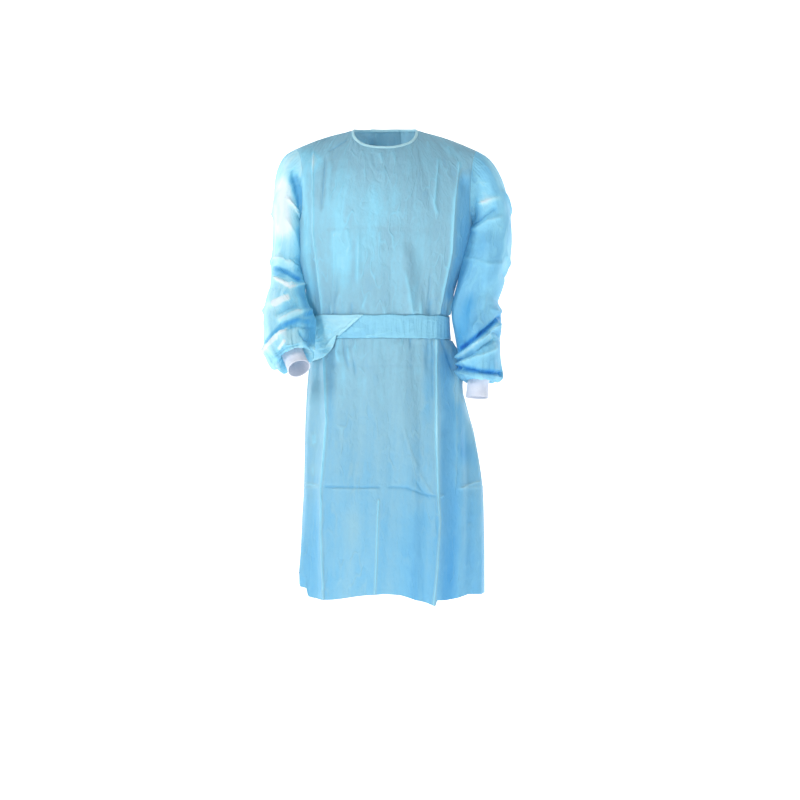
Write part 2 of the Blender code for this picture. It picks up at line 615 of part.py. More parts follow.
def fold_sleeve(points, side):
    """Raises folds that run slanting round the sleeve, and the gathers that widen down to the cuff."""
    normals = grid_normals(points, closed=True)
    count = SLEEVE_SECTION_ROWS
    turn = np.degrees(np.arange(SLEEVE_COLUMNS) * 2.0 * math.pi / SLEEVE_COLUMNS)
    lift = np.zeros(points.shape[:2])
    lengths = np.linalg.norm(np.diff(points, axis=0), axis=2).mean(axis=1)
    down = np.concatenate([[0.0], np.cumsum(lengths)])
    down = down - down[CAP_ROWS]
    total = down[CAP_ROWS + count]
    for row in SLEEVE_FOLDS[side]:
        fold = dict(zip(SLEEVE_FOLD_COLUMNS, row))
        share = (turn - fold["turn"]) / (fold["end_turn"] - fold["turn"])
        along = fold["along"] + (fold["end_along"] - fold["along"]) * share
        ease = np.sin(math.pi * np.clip(share, 0.0, 1.0))
        tent = np.clip(1.0 - np.abs(down[:, None] - along[None, :] * total) / fold["width"], 0.0, 1.0)
        lift += fold["rise"] * ease[None, :] * tent
    grow = smooth_step((down / total - GATHER_START) / (1.0 - GATHER_START))
    fade = 1.0 - smooth_step((np.arange(len(points)) - CAP_ROWS - count) / (CURL_ROWS - 1.0))
    waves = np.cos(np.radians(turn) * GATHERS) + 0.3 * np.cos(np.radians(turn) * 3.0)
    lift += GATHER_RISE * (grow * fade)[:, None] * waves[None, :]
    lift[0] = 0.0
    return points + normals * lift[:, :, None]


def border_cells(shape, closed):
    rows, columns = shape[:2]
    cells = {(r, c) for r in (0, rows - 1) for c in range(columns)}
    if not closed:
        cells |= {(r, c) for r in range(rows) for c in (0, columns - 1)}
    return sorted(cells)


def share_normals(panels):
    """Where borders of several panels have the same point, gives them one wall direction, their average."""
    met = {}
    for panel in panels:
        for cell in border_cells(panel["points"].shape, panel["closed"]):
            key = tuple(np.round(panel["points"][cell] * 1e5).astype(int))
            met.setdefault(key, []).append((panel, cell))
    for members in met.values():
        if len(members) < 2:
            continue
        total = unit(sum(panel["normals"][cell] for panel, cell in members))
        for panel, cell in members:
            panel["normals"][cell] = total


def draw_back(panel, cells, closed=False):
    """Draws an edge of a panel back by half of the seam's gap, square to the seam and within the cloth."""
    index = tuple(np.array(cells).T)
    points = panel["seam_points"][index]
    normals = panel["normals"][index]
    if closed:
        tangent = np.roll(points, -1, axis=0) - np.roll(points, 1, axis=0)
    else:
        tangent = np.gradient(points, axis=0)
    inwards = unit(np.cross(tangent, normals))
    if panel["closed"]:
        inwards = inwards * np.sign((inwards * (panel["seam_points"][1] - points)).sum(axis=1))[:, None]
    else:
        middle = panel["seam_points"].mean(axis=(0, 1))
        inwards = inwards * np.sign((inwards * (middle - points)).sum())
    panel["points"][index] += inwards * SEAM_GAP / 2.0


def make_panel(points, closed=False, flip=False):
    normals = grid_normals(points, closed)
    if flip:
        normals = -normals
    panel = {"points": points.copy(), "seam_points": points.copy(), "normals": normals}
    panel.update(closed=closed, flip=flip)
    return panel


def split_quads(points, quads, match=None):
    """Two triangles for each quad, split along its shorter diagonal, or along that of a matching quad."""
    corner = points[quads if match is None else match]
    first = np.linalg.norm(corner[:, 0] - corner[:, 2], axis=1)
    second = np.linalg.norm(corner[:, 1] - corner[:, 3], axis=1)
    turned = np.where((second < first - 1e-7)[:, None], np.roll(quads, -1, axis=1), quads)
    return np.concatenate([turned[:, [0, 1, 2]], turned[:, [0, 2, 3]]])


def wall_object(name, panel, wall, material):
    """A closed wall: the panel's grid outside, the same grid set in by the wall inside, and rims between.

    The wall is one thickness for the whole grid, or a thickness for each of its points."""
    outer = panel["points"]
    inner = outer - panel["normals"] * wall
    rows, columns = outer.shape[:2]
    size = rows * columns
    points = np.concatenate([outer.reshape(-1, 3), inner.reshape(-1, 3)])
    index = np.arange(size).reshape(rows, columns)
    if panel["closed"]:
        index = np.concatenate([index, index[:, :1]], axis=1)
    corners = (index[:-1, :-1], index[:-1, 1:], index[1:, 1:], index[1:, :-1])
    cells = np.stack([corner.ravel() for corner in corners], axis=1)
    faces = [split_quads(points, cells), split_quads(points, cells + size, match=cells)[:, ::-1]]
    edges = [index[0], index[-1][::-1]]
    if not panel["closed"]:
        edges += [index[:, -1], index[:, 0][::-1]]
    for edge in edges:
        rim = np.stack([edge[1:], edge[:-1], edge[:-1] + size, edge[1:] + size], axis=1)
        faces.append(split_quads(points, rim))
    faces = np.concatenate(faces)
    if panel["flip"]:
        faces = faces[:, ::-1]
    return mesh_object(name, points, faces, material)


def mesh_object(name, points, faces, material):
    mesh = bpy.data.meshes.new(name)
    mesh.from_pydata(points.tolist(), [], faces.tolist())
    mesh.update()
    mesh.shade_smooth()
    mesh.set_sharp_from_angle(angle=math.radians(40))
    mesh.materials.append(material)
    item = bpy.data.objects.new(name, mesh)
    bpy.context.collection.objects.link(item)
    return item


def column_cells(rows, column):
    return [(r, column) for r in rows]


def row_cells(row, columns):
    return [(row, c) for c in columns]


def draw_back_seams(panels):
    """Opens the gap along every seam: sides, shoulders, armholes."""
    lower = range(LOWER_ROWS + 1)
    upper = range(LOWER_ROWS, PANEL_ROWS + 1)
    front, right, left = panels["front"], panels["back_right"], panels["back_left"]
    for column in (0, FRONT_COLUMNS):
        draw_back(front, column_cells(lower, column))
        draw_back(front, column_cells(upper, column))
    draw_back(front, row_cells(PANEL_ROWS, range(SHOULDER_COLUMNS + 1)))
    draw_back(front, row_cells(PANEL_ROWS, range(FRONT_COLUMNS - SHOULDER_COLUMNS, FRONT_COLUMNS + 1)))
    for back, side_column in ((right, BACK_COLUMNS), (left, 0)):
        draw_back(back, column_cells(lower, side_column))
        draw_back(back, column_cells(upper, side_column))
    draw_back(right, row_cells(PANEL_ROWS, range(BACK_COLUMNS - SHOULDER_COLUMNS, BACK_COLUMNS + 1)))
    draw_back(left, row_cells(PANEL_ROWS, range(SHOULDER_COLUMNS + 1)))
    for side in ("right", "left"):
        draw_back(panels["sleeve_" + side], row_cells(0, range(SLEEVE_COLUMNS)), closed=True)


def even_sleeve_edge(panel):
    """Half way between two points of the armhole, the sleeve's edge lies half way too, wall and all."""
    normals = panel["normals"][0]
    normals[1::2] = (normals[::2] + np.roll(normals[::2], -1, axis=0)) / 2.0


def build_cuff(side, material):
    top, direction = cuff_top(side)
    frame = sleeve_frame(*direction)
    hand = np.array([-1.0 if side == "right" else 1.0, 1.0, 1.0])
    turn = np.arange(SLEEVE_COLUMNS) * 2.0 * math.pi / SLEEVE_COLUMNS
    rows = []
    for i in range(CUFF_ROWS + 1):
        share = i / CUFF_ROWS
        grow = CUFF_FLARE * share ** 2
        centre = top + frame[0] * CUFF_LENGTH * share
        rows.append(oval(centre, frame, turn, CUFF_HALF_WIDTH + grow, CUFF_HALF_DEPTH + grow) * hand)
    panel = make_panel(np.array(rows), closed=True, flip=side == "right")
    return wall_object("cuff_" + side, panel, CUFF_WALL, material)


def build_binding(panels, material):
    """The neck's binding, a band standing on the panels' top edges all along the neckline."""
    front, right, left = panels["front"], panels["back_right"], panels["back_left"]
    neck_front = slice(SHOULDER_COLUMNS, FRONT_COLUMNS - SHOULDER_COLUMNS + 1)
    pieces = (
        (right, slice(0, BACK_COLUMNS - SHOULDER_COLUMNS)),
        (front, neck_front),
        (left, slice(SHOULDER_COLUMNS + 1, BACK_COLUMNS + 1)),
    )
    points = np.concatenate([panel["seam_points"][-1, cells] for panel, cells in pieces])
    normals = np.concatenate([panel["normals"][-1, cells] for panel, cells in pieces])
    upwards = unit(np.cross(np.gradient(points, axis=0), -normals))
    if upwards[:, 2].mean() < 0.0:
        upwards = -upwards
    proud = (BINDING_WALL - CLOTH_WALL) / 2.0
    rows = np.stack([points + upwards * (SEAM_GAP + BINDING_WIDTH * share) for share in (0.0, 0.5, 1.0)])
    walls = np.repeat(normals[None], 3, axis=0)
    rows = rows + walls * proud
    panel = {"points": rows, "normals": walls, "closed": False, "flip": False}
    if (np.cross(np.gradient(rows, axis=1), np.gradient(rows, axis=0)) * walls).sum() < 0.0:
        panel["flip"] = True
    wall_object("neck_binding", panel, BINDING_WALL, material)
    return rows


def on_column(panel, column, heights):
    """Points and normals of a panel at given heights on one column, between its rows in a straight line."""
    points = panel["seam_points"][:, column]
    normals = panel["normals"][:, column]
    place = np.stack([np.interp(heights, points[:, 2], points[:, k]) for k in range(3)], axis=-1)
    facing = np.stack([np.interp(heights, points[:, 2], normals[:, k]) for k in range(3)], axis=-1)
    return place, unit(facing)


def on_panel(panel, across, heights):
    """Points and normals of a panel at distances from the middle, one for each height given."""
    columns = panel["seam_points"].shape[1]
    found = [on_column(panel, column, heights) for column in range(columns)]
    places = np.array([place for place, facing in found])
    facings = np.array([facing for place, facing in found])
    if places[0, 0, 0] > places[-1, 0, 0]:
        places, facings = places[::-1], facings[::-1]
    x = places[:, :, 0]
    read = [[[np.interp(at, x[:, i], grid[:, i, k]) for k in range(3)] for i, at in enumerate(across)]
            for grid in (places, facings)]
    place, facing = np.array(read)
    return place, unit(facing)


def on_back(across, heights):
    """Points and normals of the back's overlapped middle, at a distance from the middle for each height."""
    points = []
    for shift in (0.0, 0.002):
        section = body_section(heights)
        reach = np.where(across + shift > 0, section["left"], -section["right"])
        share = np.clip(np.abs(across + shift) / reach, 0.0, 1.0) ** (section["squareness"] / 2.0)
        x, y = body_ring(heights, np.arccos(np.sign(across + shift) * share))
        points.append(np.stack([x, y, heights], axis=-1))
    step = points[1] - points[0]
    normals = unit(np.stack([-step[:, 1], step[:, 0], np.zeros(len(heights))], axis=-1))
    return points[0] + normals * LAP_RISE, normals


def strip_panel(columns, lift):
    """A strip from a list of columns, each an array of points and of normals from low edge to high."""
    points = np.array([place + facing * (lift + CLOTH_WALL) for place, facing in columns])
    points = points.transpose(1, 0, 2)
    normals = np.array([facing for place, facing in columns]).transpose(1, 0, 2)
    return {"points": points, "normals": normals, "closed": False, "flip": False}


def build_belt(panels, material):
    """The belt from its knot round the left side and over the front to the slanting fold at the right."""
    heights = np.array([BELT_LOW, BELT_MIDDLE, BELT_HIGH])
    front, left = panels["front"], panels["back_left"]
    columns = []
    for column in range(FRONT_COLUMNS, 0, -1):
        if front["seam_points"][BELT_ROW, column, 0] > TURN_TOP_ACROSS + 0.006:
            columns.append(on_column(front, column, heights))
    for share in (0.0, 0.5, 1.0):
        across = []
        for height in heights:
            down = (BELT_HIGH - height) / (BELT_HIGH - BELT_LOW)
            end = TURN_TOP_ACROSS + (TURN_FOOT_ACROSS - TURN_TOP_ACROSS) * down
            start = TURN_TOP_ACROSS + 0.004
            across.append(start + (end - start) * share)
        columns.append(on_panel(front, across, heights))
    columns = columns[::-1]
    for column in range(1, KNOT_COLUMN):
        columns.append(on_column(left, column, heights))
    columns.append(on_panel(left, np.full(3, KNOT_LEFT_END + SEAM_GAP), heights))
    return wall_object("belt", strip_panel(columns, BELT_LIFT), CLOTH_WALL, material)


def opened_heights(bearing):
    low = float(read_curve(OPENED_COLUMNS, OPENED_EDGES, "low", bearing))
    high = float(read_curve(OPENED_COLUMNS, OPENED_EDGES, "high", bearing))
    return np.linspace(low, high, 4)


def build_opened_belt(panels, material):
    """The belt's stretch at the right, where its doubled cloth opens from the fold and runs to the knot."""
    front, right = panels["front"], panels["back_right"]
    half_width = float(body_section(BELT_MIDDLE)["right"])
    end_bearing = 90.0 - math.degrees(math.asin(-KNOT_RIGHT_END / half_width))
    columns = [on_panel(right, np.full(4, KNOT_RIGHT_END - SEAM_GAP), opened_heights(180.0 - end_bearing))]
    for column, bearing in enumerate(np.degrees(back_bearings("right", BELT_HIGH))):
        if bearing > 90.0 + LAP_HEM_DEGREES:
            columns.append(on_column(right, column, opened_heights(bearing)))
    for column in range(1, FRONT_COLUMNS // 2):
        if front["seam_points"][BELT_ROW, column, 0] > TURN_FOOT_ACROSS - 0.004:
            break
        bearing = math.degrees(front_bearings(BELT_HIGH)[column])
        columns.append(on_column(front, column, opened_heights(bearing)))
    for share in (0.35, 0.7, 1.0):
        low_end = TURN_FOOT_ACROSS + TURN_OVERLAP * share
        high_end = TURN_FOOT_ACROSS + (TURN_TOP_ACROSS + TURN_OVERLAP - TURN_FOOT_ACROSS) * share
        heights = np.linspace(BELT_LOW + 0.006, BELT_HIGH, 4)
        columns.append(on_panel(front, np.linspace(low_end, high_end, 4), heights))
    return wall_object("belt_fold", strip_panel(columns, OPENED_LIFT), CLOTH_WALL, material)


def build_knot(name, surface, ends, depth, edge_depth, lift, material):
    """A tied knot as a rounded block, its underside on the surface given and its middle standing out."""
    right_end, left_end, low, high = ends
    across = np.linspace(right_end, left_end, 8)
    places = [surface(across, np.full(8, height)) for height in np.linspace(low, high, 7)]
    under = np.array([place for place, facing in places])
    facing = np.array([facing for place, facing in places])
    across = np.abs(np.linspace(-1.0, 1.0, 8))[None, :] ** 3
    up = np.abs(np.linspace(-1.0, 1.0, 7))[:, None] ** 3
    wall = (edge_depth + (depth - edge_depth) * (1.0 - across) * (1.0 - up))[:, :, None]
    panel = {"points": under + facing * (lift + wall), "normals": facing, "closed": False, "flip": True}
    return wall_object(name, panel, wall, material)


def build_tails(tails, surface, lift, material):
    """Flat hanging ends, each from its knot's lower edge down to a slanted cut end."""
    for row in tails:
        tail = dict(zip(TAIL_COLUMNS, row))
        strips = []
        for down in np.linspace(1.0, 0.0, TAIL_ROWS):
            ends = []
            feet = []
            for side in ("right", "left"):
                ends.append(tail["top_" + side] + (tail["foot_" + side] - tail["top_" + side]) * down)
                feet.append(tail["top"] + (tail["foot_" + side + "_z"] - tail["top"]) * down)
            strips.append(surface(np.linspace(*ends, 4), np.linspace(*feet, 4)))
        points = np.array([place + facing * (lift + CLOTH_WALL) for place, facing in strips])
        facing = np.array([facing for place, facing in strips])
        panel = {"points": points, "normals": facing, "closed": False, "flip": True}
        wall_object(tail["name"], panel, CLOTH_WALL, material)


def build_ties(panels, material):
    """The tied ends at the back: the belt's over the lap at the waist, the neck's below the binding."""
    belt_ends = (KNOT_RIGHT_END, KNOT_LEFT_END, KNOT_LOW, KNOT_HIGH)
    build_knot("belt_knot", on_back, belt_ends, KNOT_DEPTH, KNOT_EDGE_DEPTH, SEAM_GAP, material)
    build_tails(BELT_TAILS, on_back, TAIL_LIFT, material)

    def on_left(across, heights):
        return on_panel(panels["back_left"], across, heights)

    neck_ends = (NECK_KNOT_RIGHT_END, NECK_KNOT_LEFT_END, NECK_KNOT_LOW, NECK_KNOT_HIGH)
    neck_depths = (NECK_KNOT_DEPTH, NECK_KNOT_EDGE_DEPTH)
    build_knot("neck_knot", on_left, neck_ends, *neck_depths, TAIL_LIFT / 2.0, material)
    build_tails(NECK_TAILS, on_left, TAIL_LIFT, material)


def main():
    clear_scene()
    cloth = make_material("nonwoven_cloth", CLOTH_COLOUR, CLOTH_ROUGHNESS)
    knit = make_material("rib_knit", CUFF_COLOUR, CUFF_ROUGHNESS)
    front = front_panel()
    backs = {side: back_panel(side) for side in ("right", "left")}
    share_edges(front, backs)
    panels = {"front": make_panel(front)}
    for side in ("right", "left"):
        panels["back_" + side] = make_panel(backs[side])
        mirror = np.array([-1.0 if side == "right" else 1.0, 1.0, 1.0])
        loop = halve_steps(armhole_loop(front, backs[side], side))
        inset = halve_steps(armhole_loop(front, backs[side], side, inset=1))
        sleeve = fold_sleeve(sleeve_rows(side, loop, inset), side) * mirror
        panels["sleeve_" + side] = make_panel(sleeve, closed=True, flip=side == "right")
    share_normals(list(panels.values()))
    for side in ("right", "left"):
        even_sleeve_edge(panels["sleeve_" + side])
    draw_back_seams(panels)
    for name, panel in panels.items():
        wall_object(name, panel, CLOTH_WALL, cloth)
    for side in ("right", "left"):
        build_cuff(side, knit)
    build_binding(panels, cloth)
    build_belt(panels, cloth)
    build_opened_belt(panels, cloth)
    build_ties(panels, cloth)


main()
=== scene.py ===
# %% [markdown]
# # Isolation gown: the looks
# The solids give each panel of the gown as a coarse grid. Here the same grids are worked out again from the
# same sizes, drawn finer with smooth curves, and pressed with the creases, gathers and puckers of thin
# nonwoven polypropylene that was folded flat in its packet. Everything stays on the solids' form.

import math

import bpy
import numpy as np
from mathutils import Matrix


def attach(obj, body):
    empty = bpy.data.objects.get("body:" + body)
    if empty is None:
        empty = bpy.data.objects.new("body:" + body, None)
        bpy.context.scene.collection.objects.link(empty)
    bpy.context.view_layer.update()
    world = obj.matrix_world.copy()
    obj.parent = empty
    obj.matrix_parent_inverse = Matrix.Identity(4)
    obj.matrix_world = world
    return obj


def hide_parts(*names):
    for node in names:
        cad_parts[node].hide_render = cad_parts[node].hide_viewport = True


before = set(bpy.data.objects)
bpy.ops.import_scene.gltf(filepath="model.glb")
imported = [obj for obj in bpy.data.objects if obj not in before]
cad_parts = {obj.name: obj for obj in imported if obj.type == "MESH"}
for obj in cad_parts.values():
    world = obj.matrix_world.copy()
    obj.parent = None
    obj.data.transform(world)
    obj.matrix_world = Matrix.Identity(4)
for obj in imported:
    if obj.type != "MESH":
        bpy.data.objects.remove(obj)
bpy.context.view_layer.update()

# %% [markdown]
# ## Sizes of the form
# The gown hangs from the shoulders, so heights count down from the neckline. They are repeated from the
# solids, in metres, because the cloth has to lie on them.

# %% Sizes of the form

# Cloth and seams, and how far the belt and its opened stretch stand off the cloth
CLOTH_WALL = 0.0015
SEAM_GAP = 0.0003
BELT_LIFT = 0.0008
OPENED_LIFT = 0.0032

SIDES = ("right", "left")
HANDS = {"right": -1.0, "left": 1.0}

# Heights and neckline
HEM_HEIGHT = -1.130
ARMPIT_HEIGHT = -0.240
BELT_LOW = -0.514
BELT_MIDDLE = -0.486
BELT_HIGH = -0.457
NECK_HALF_WIDTH = 0.081
NECK_SIDE_HEIGHT = -0.004
NECK_FRONT_DEPTH = 0.078
NECK_FRONT_DROP = 0.053
NECK_BACK_DEPTH = 0.072
NECK_BACK_RISE = 0.008
NECK_SQUARENESS = 2.3
SHOULDER_CROWN = 0.005

# Back opening
LAP_HEM_DEGREES = 17.0
LAP_TOP_DEGREES = 11.0
LAP_RISE = 0.0042
LAP_EASE_DEGREES = 16.0
BACK_NECK_BEARING = 45.0

# Grid counts
SHOULDER_COLUMNS = 12
CORNER_COLUMN = 6
NECK_COLUMNS = 12
BACK_NECK_COLUMNS = 5
LAP_COLUMNS = 2
CAP_ROWS = 8
UPPER_ROWS = 8
SLEEVE_COLUMNS = 4 * UPPER_ROWS
SLEEVE_SECTION_ROWS = 9
CURL_ROWS = 5
ROW_HEIGHTS = (-1.130, -1.085, -1.02, -0.95, -0.88, -0.81, -0.74, -0.67, -0.61, -0.56, BELT_LOW,
               BELT_MIDDLE, BELT_HIGH, -0.40, -0.345, -0.29, ARMPIT_HEIGHT)
FRONT_COLUMNS = 2 * SHOULDER_COLUMNS + NECK_COLUMNS
BACK_COLUMNS = SHOULDER_COLUMNS + BACK_NECK_COLUMNS + LAP_COLUMNS
LOWER_ROWS = len(ROW_HEIGHTS) - 1
BELT_ROW = ROW_HEIGHTS.index(BELT_HIGH)
KNOT_COLUMN = SHOULDER_COLUMNS + BACK_NECK_COLUMNS

# Sections of the body: right and left are the widest points, widest_at is how far forward they lie
BODY_COLUMNS = ("height", "right", "left", "front", "back", "widest_at", "squareness")
BODY_SECTIONS = (
    (-1.13, -0.209, 0.243, -0.154, 0.15, 0.0, 2.15),
    (-0.98, -0.203, 0.242, -0.152, 0.146, 0.0, 2.15),
    (-0.86, -0.197, 0.237, -0.148, 0.14, 0.0, 2.15),
    (-0.74, -0.195, 0.216, -0.142, 0.13, 0.0, 2.1),
    (-0.62, -0.189, 0.184, -0.134, 0.117, -0.004, 2.05),
    (-0.514, -0.179, 0.158, -0.126, 0.104, -0.01, 2.0),
    (-0.457, -0.179, 0.155, -0.124, 0.101, -0.014, 2.0),
    (-0.38, -0.195, 0.174, -0.126, 0.106, -0.018, 2.05),
    (-0.31, -0.205, 0.194, -0.128, 0.111, -0.018, 2.1),
    (-0.24, -0.206, 0.209, -0.127, 0.113, -0.01, 2.2),
)

# The front's two long corner creases: their distance from the middle and how far they stand out
CORNER_TABLE_COLUMNS = ("height", "right", "left", "right_rise", "left_rise")
CORNER_CREASES = (
    (-1.13, -0.142, 0.114, 0.013, 0.019),
    (-0.95, -0.146, 0.13, 0.011, 0.015),
    (-0.86, -0.148, 0.127, 0.01, 0.013),
    (-0.74, -0.138, 0.122, 0.009, 0.012),
    (-0.6, -0.137, 0.12, 0.006, 0.011),
    (-0.514, -0.138, 0.12, 0.003, 0.004),
    (-0.457, -0.148, 0.126, 0.003, 0.003),
    (-0.33, -0.168, 0.155, 0.006, 0.008),
    (-0.24, -0.172, 0.163, 0.008, 0.01),
)
CORNER_TOP_RIGHT = -0.176
CORNER_TOP_LEFT = 0.184
CORNER_TOP_RISE = 0.003
CORNER_WIDTH = 0.042
MIDDLE_CREASE_HEM = -0.022

# The hem's height round the body, by bearing: 0 is the left side, 90 the middle of the back, 270 the front
HEM_COLUMNS = ("bearing", "height")
HEM_LEVELS = (
    (0.0, -1.13), (45.0, -1.118), (90.0, -1.108), (140.0, -1.094), (172.0, -1.1), (190.0, -1.116),
    (215.0, -1.131), (232.0, -1.133), (262.0, -1.119), (288.0, -1.118), (304.0, -1.141), (330.0, -1.134),
    (360.0, -1.13),
)

# Shoulder tips, and how far the armholes' edges swell to the front and back and in towards the middle
ARMHOLE_COLUMNS = (
    "side", "tip_out", "tip_height", "front_swell", "back_swell", "front_inward", "back_inward",
)
ARMHOLES = (
    ("right", 0.222, -0.05, 0.052, 0.056, 0.014, 0.008),
    ("left", 0.227, -0.054, 0.052, 0.056, 0.008, 0.008),
)
ARMHOLE_ROUNDNESS = 0.75

# Folds pressed into the panels: across is the distance from the middle, at the fold's top and foot
FOLD_COLUMNS = ("top_across", "top", "foot_across", "foot", "width", "rise", "ease_top", "ease_foot")
FRONT_FOLDS = (
    (-0.01, -0.88, MIDDLE_CREASE_HEM, -1.135, 0.024, 0.004, 0.03, 0.0),
    (-0.197, -0.93, -0.188, -1.135, 0.02, 0.01, 0.06, 0.0),
    (0.106, -0.514, 0.103, -0.6, 0.018, -0.008, 0.004, 0.04),
    (0.14, -0.514, 0.146, -0.6, 0.018, -0.008, 0.004, 0.04),
    (-0.112, -0.514, -0.1, -0.6, 0.016, 0.005, 0.004, 0.04),
    (-0.08, -0.514, -0.074, -0.62, 0.018, 0.005, 0.004, 0.05),
    (0.044, -0.27, 0.064, -0.452, 0.026, 0.007, 0.06, 0.01),
    (-0.062, -0.24, -0.066, -0.4, 0.016, 0.004, 0.03, 0.04),
    (0.1, -0.38, 0.094, -0.457, 0.022, 0.005, 0.04, 0.004),
    (-0.1, -0.36, -0.104, -0.457, 0.022, 0.005, 0.04, 0.004),
    (0.205, -0.66, 0.215, -1.135, 0.04, 0.008, 0.1, 0.0),
    (-0.03, -0.64, -0.06, -0.86, 0.05, -0.005, 0.08, 0.08),
    (0.06, -0.62, 0.07, -0.9, 0.05, 0.006, 0.08, 0.08),
)
BACK_FOLDS = (
    (0.15, -0.28, 0.118, -0.457, 0.032, 0.008, 0.06, 0.004),
    (0.1, -0.2, 0.092, -0.457, 0.024, 0.007, 0.08, 0.004),
    (0.136, -0.514, 0.172, -1.12, 0.034, 0.011, 0.004, 0.0),
    (0.096, -0.514, 0.112, -1.12, 0.026, 0.01, 0.004, 0.0),
    (0.155, -0.514, 0.2, -0.96, 0.026, 0.007, 0.004, 0.12),
    (0.12, -0.06, 0.13, -0.23, 0.03, 0.005, 0.04, 0.06),
)

# Sections of the sleeves: out is away from the body, leans are degrees forwards and outwards
SLEEVE_TABLE_COLUMNS = ("height", "out", "fore", "lean_fore", "lean_out", "half_width", "half_depth")
SLEEVES = {
    "left": (
        (-0.31, 0.2535, 0.0, 4.0, 0.0, 0.0515, 0.074),
        (-0.37, 0.2415, 0.008, 8.0, -9.0, 0.051, 0.071),
        (-0.418, 0.227, 0.016, 10.0, -5.0, 0.049, 0.068),
        (-0.45, 0.227, 0.024, 12.0, 0.0, 0.054, 0.067),
        (-0.51, 0.2255, 0.038, 12.0, 2.0, 0.054, 0.065),
        (-0.56, 0.228, 0.05, 10.0, 2.0, 0.051, 0.062),
        (-0.6, 0.23, 0.058, 6.0, -2.0, 0.052, 0.058),
    ),
    "right": (
        (-0.305, 0.239, -0.028, 2.0, 0.0, 0.037, 0.076),
        (-0.35, 0.2415, -0.022, 16.0, 0.0, 0.0385, 0.074),
        (-0.392, 0.238, 0.004, 34.0, 0.0, 0.043, 0.068),
        (-0.436, 0.236, 0.048, 40.0, -4.0, 0.053, 0.061),
        (-0.484, 0.226, 0.095, 42.0, -8.0, 0.063, 0.057),
        (-0.524, 0.224, 0.132, 40.0, -14.0, 0.061, 0.054),
        (-0.546, 0.218, 0.152, 38.0, -20.0, 0.056, 0.051),
    ),
}
CAP_LEAVING = (0.95, 0.0, -0.31)
ONWARD_SHARE = 0.7
CAP_PULL = 0.90
BLOUSE_DEPTH = 0.014
SEAM_BACK_UP = 0.016

CUFF_HALF_WIDTH = 0.0262
CUFF_HALF_DEPTH = 0.0292
CUFF_LENGTH = 0.056
CUFF_FLARE = 0.0012

# Folds across the sleeves: turn is degrees round from the outer side over the front, along is 0 to 1
SLEEVE_FOLD_COLUMNS = ("turn", "along", "end_turn", "end_along", "width", "rise")
SLEEVE_FOLDS = {
    "left": (
        (20.0, 0.52, 170.0, 0.86, 0.016, 0.008),
        (20.0, 0.62, 165.0, 0.9, 0.014, -0.006),
        (0.0, 0.8, 150.0, 0.92, 0.014, 0.006),
        (10.0, 0.24, 110.0, 0.1, 0.02, 0.006),
        (220.0, 0.45, 330.0, 0.62, 0.02, 0.006),
        (200.0, 0.85, 350.0, 0.72, 0.018, 0.006),
    ),
    "right": (
        (20.0, 0.46, 120.0, 0.56, 0.018, 0.007),
        (10.0, 0.74, 130.0, 0.58, 0.018, 0.007),
        (30.0, 0.9, 140.0, 0.72, 0.016, -0.006),
        (60.0, 0.06, 150.0, 0.34, 0.018, 0.006),
        (190.0, 0.55, 320.0, 0.48, 0.02, -0.006),
        (200.0, 0.72, 340.0, 0.8, 0.02, 0.006),
    ),
}
GATHERS = 8
GATHER_RISE = 0.0032
GATHER_START = 0.80

# The belt's opened stretch at the right: the fold that it starts from, then its edges by bearing
TURN_TOP_ACROSS = -0.059
TURN_FOOT_ACROSS = -0.116
TURN_OVERLAP = 0.010
OPENED_COLUMNS = ("bearing", "low", "high")
OPENED_EDGES = (
    (235.0, -0.509, -0.457), (225.0, -0.53, -0.456), (214.0, -0.556, -0.455), (200.0, -0.566, -0.458),
    (180.0, -0.566, -0.47), (150.0, -0.548, -0.474), (120.0, -0.524, -0.46), (100.0, -0.512, -0.458),
)

# Ties at the back: the belt's knot between its two ends, the neck's knot below the binding, and their tails
KNOT_RIGHT_END = -0.0425
KNOT_LEFT_END = 0.0125
KNOT_HIGH = -0.464
KNOT_LOW = -0.506
KNOT_DEPTH = 0.022
KNOT_EDGE_DEPTH = 0.005
NECK_KNOT_RIGHT_END = -0.021
NECK_KNOT_LEFT_END = -0.003
NECK_KNOT_HIGH = -0.004
NECK_KNOT_LOW = -0.017
NECK_KNOT_DEPTH = 0.008
NECK_KNOT_EDGE_DEPTH = 0.0035
TAIL_LIFT = 0.0014
TAIL_COLUMNS = ("top_right", "top_left", "foot_right", "foot_left", "top", "foot_right_z", "foot_left_z")
BELT_TAILS = (
    (-0.0395, -0.017, -0.064, -0.018, KNOT_LOW - SEAM_GAP, -0.742, -0.752),
    (-0.013, 0.0095, -0.006, 0.044, KNOT_LOW - SEAM_GAP, -0.806, -0.796),
)
NECK_TAILS = (
    (-0.0196, -0.0128, -0.0262, -0.0192, NECK_KNOT_LOW - SEAM_GAP, -0.172, -0.174),
    (-0.0112, -0.0044, -0.0016, 0.0054, NECK_KNOT_LOW - SEAM_GAP, -0.192, -0.19),
)

# %% [markdown]
# ## The form of the panels
# Each panel is a grid of points: columns round the body or the arm, rows along it. The body is a stack of
# squared ovals, which is quicker to fit to a photograph than a modelled mesh and keeps seams exact, because
# two panels that meet are given the same points.

# %% Curves
def cubic(t, start, end, leave, arrive):
    """A curve from start to end that leaves with one slope and arrives with another, t from 0 to 1."""
    between = (2 * t ** 3 - 3 * t ** 2 + 1) * start + (3 * t ** 2 - 2 * t ** 3) * end
    return between + (t ** 3 - 2 * t ** 2 + t) * leave + (t ** 3 - t ** 2) * arrive


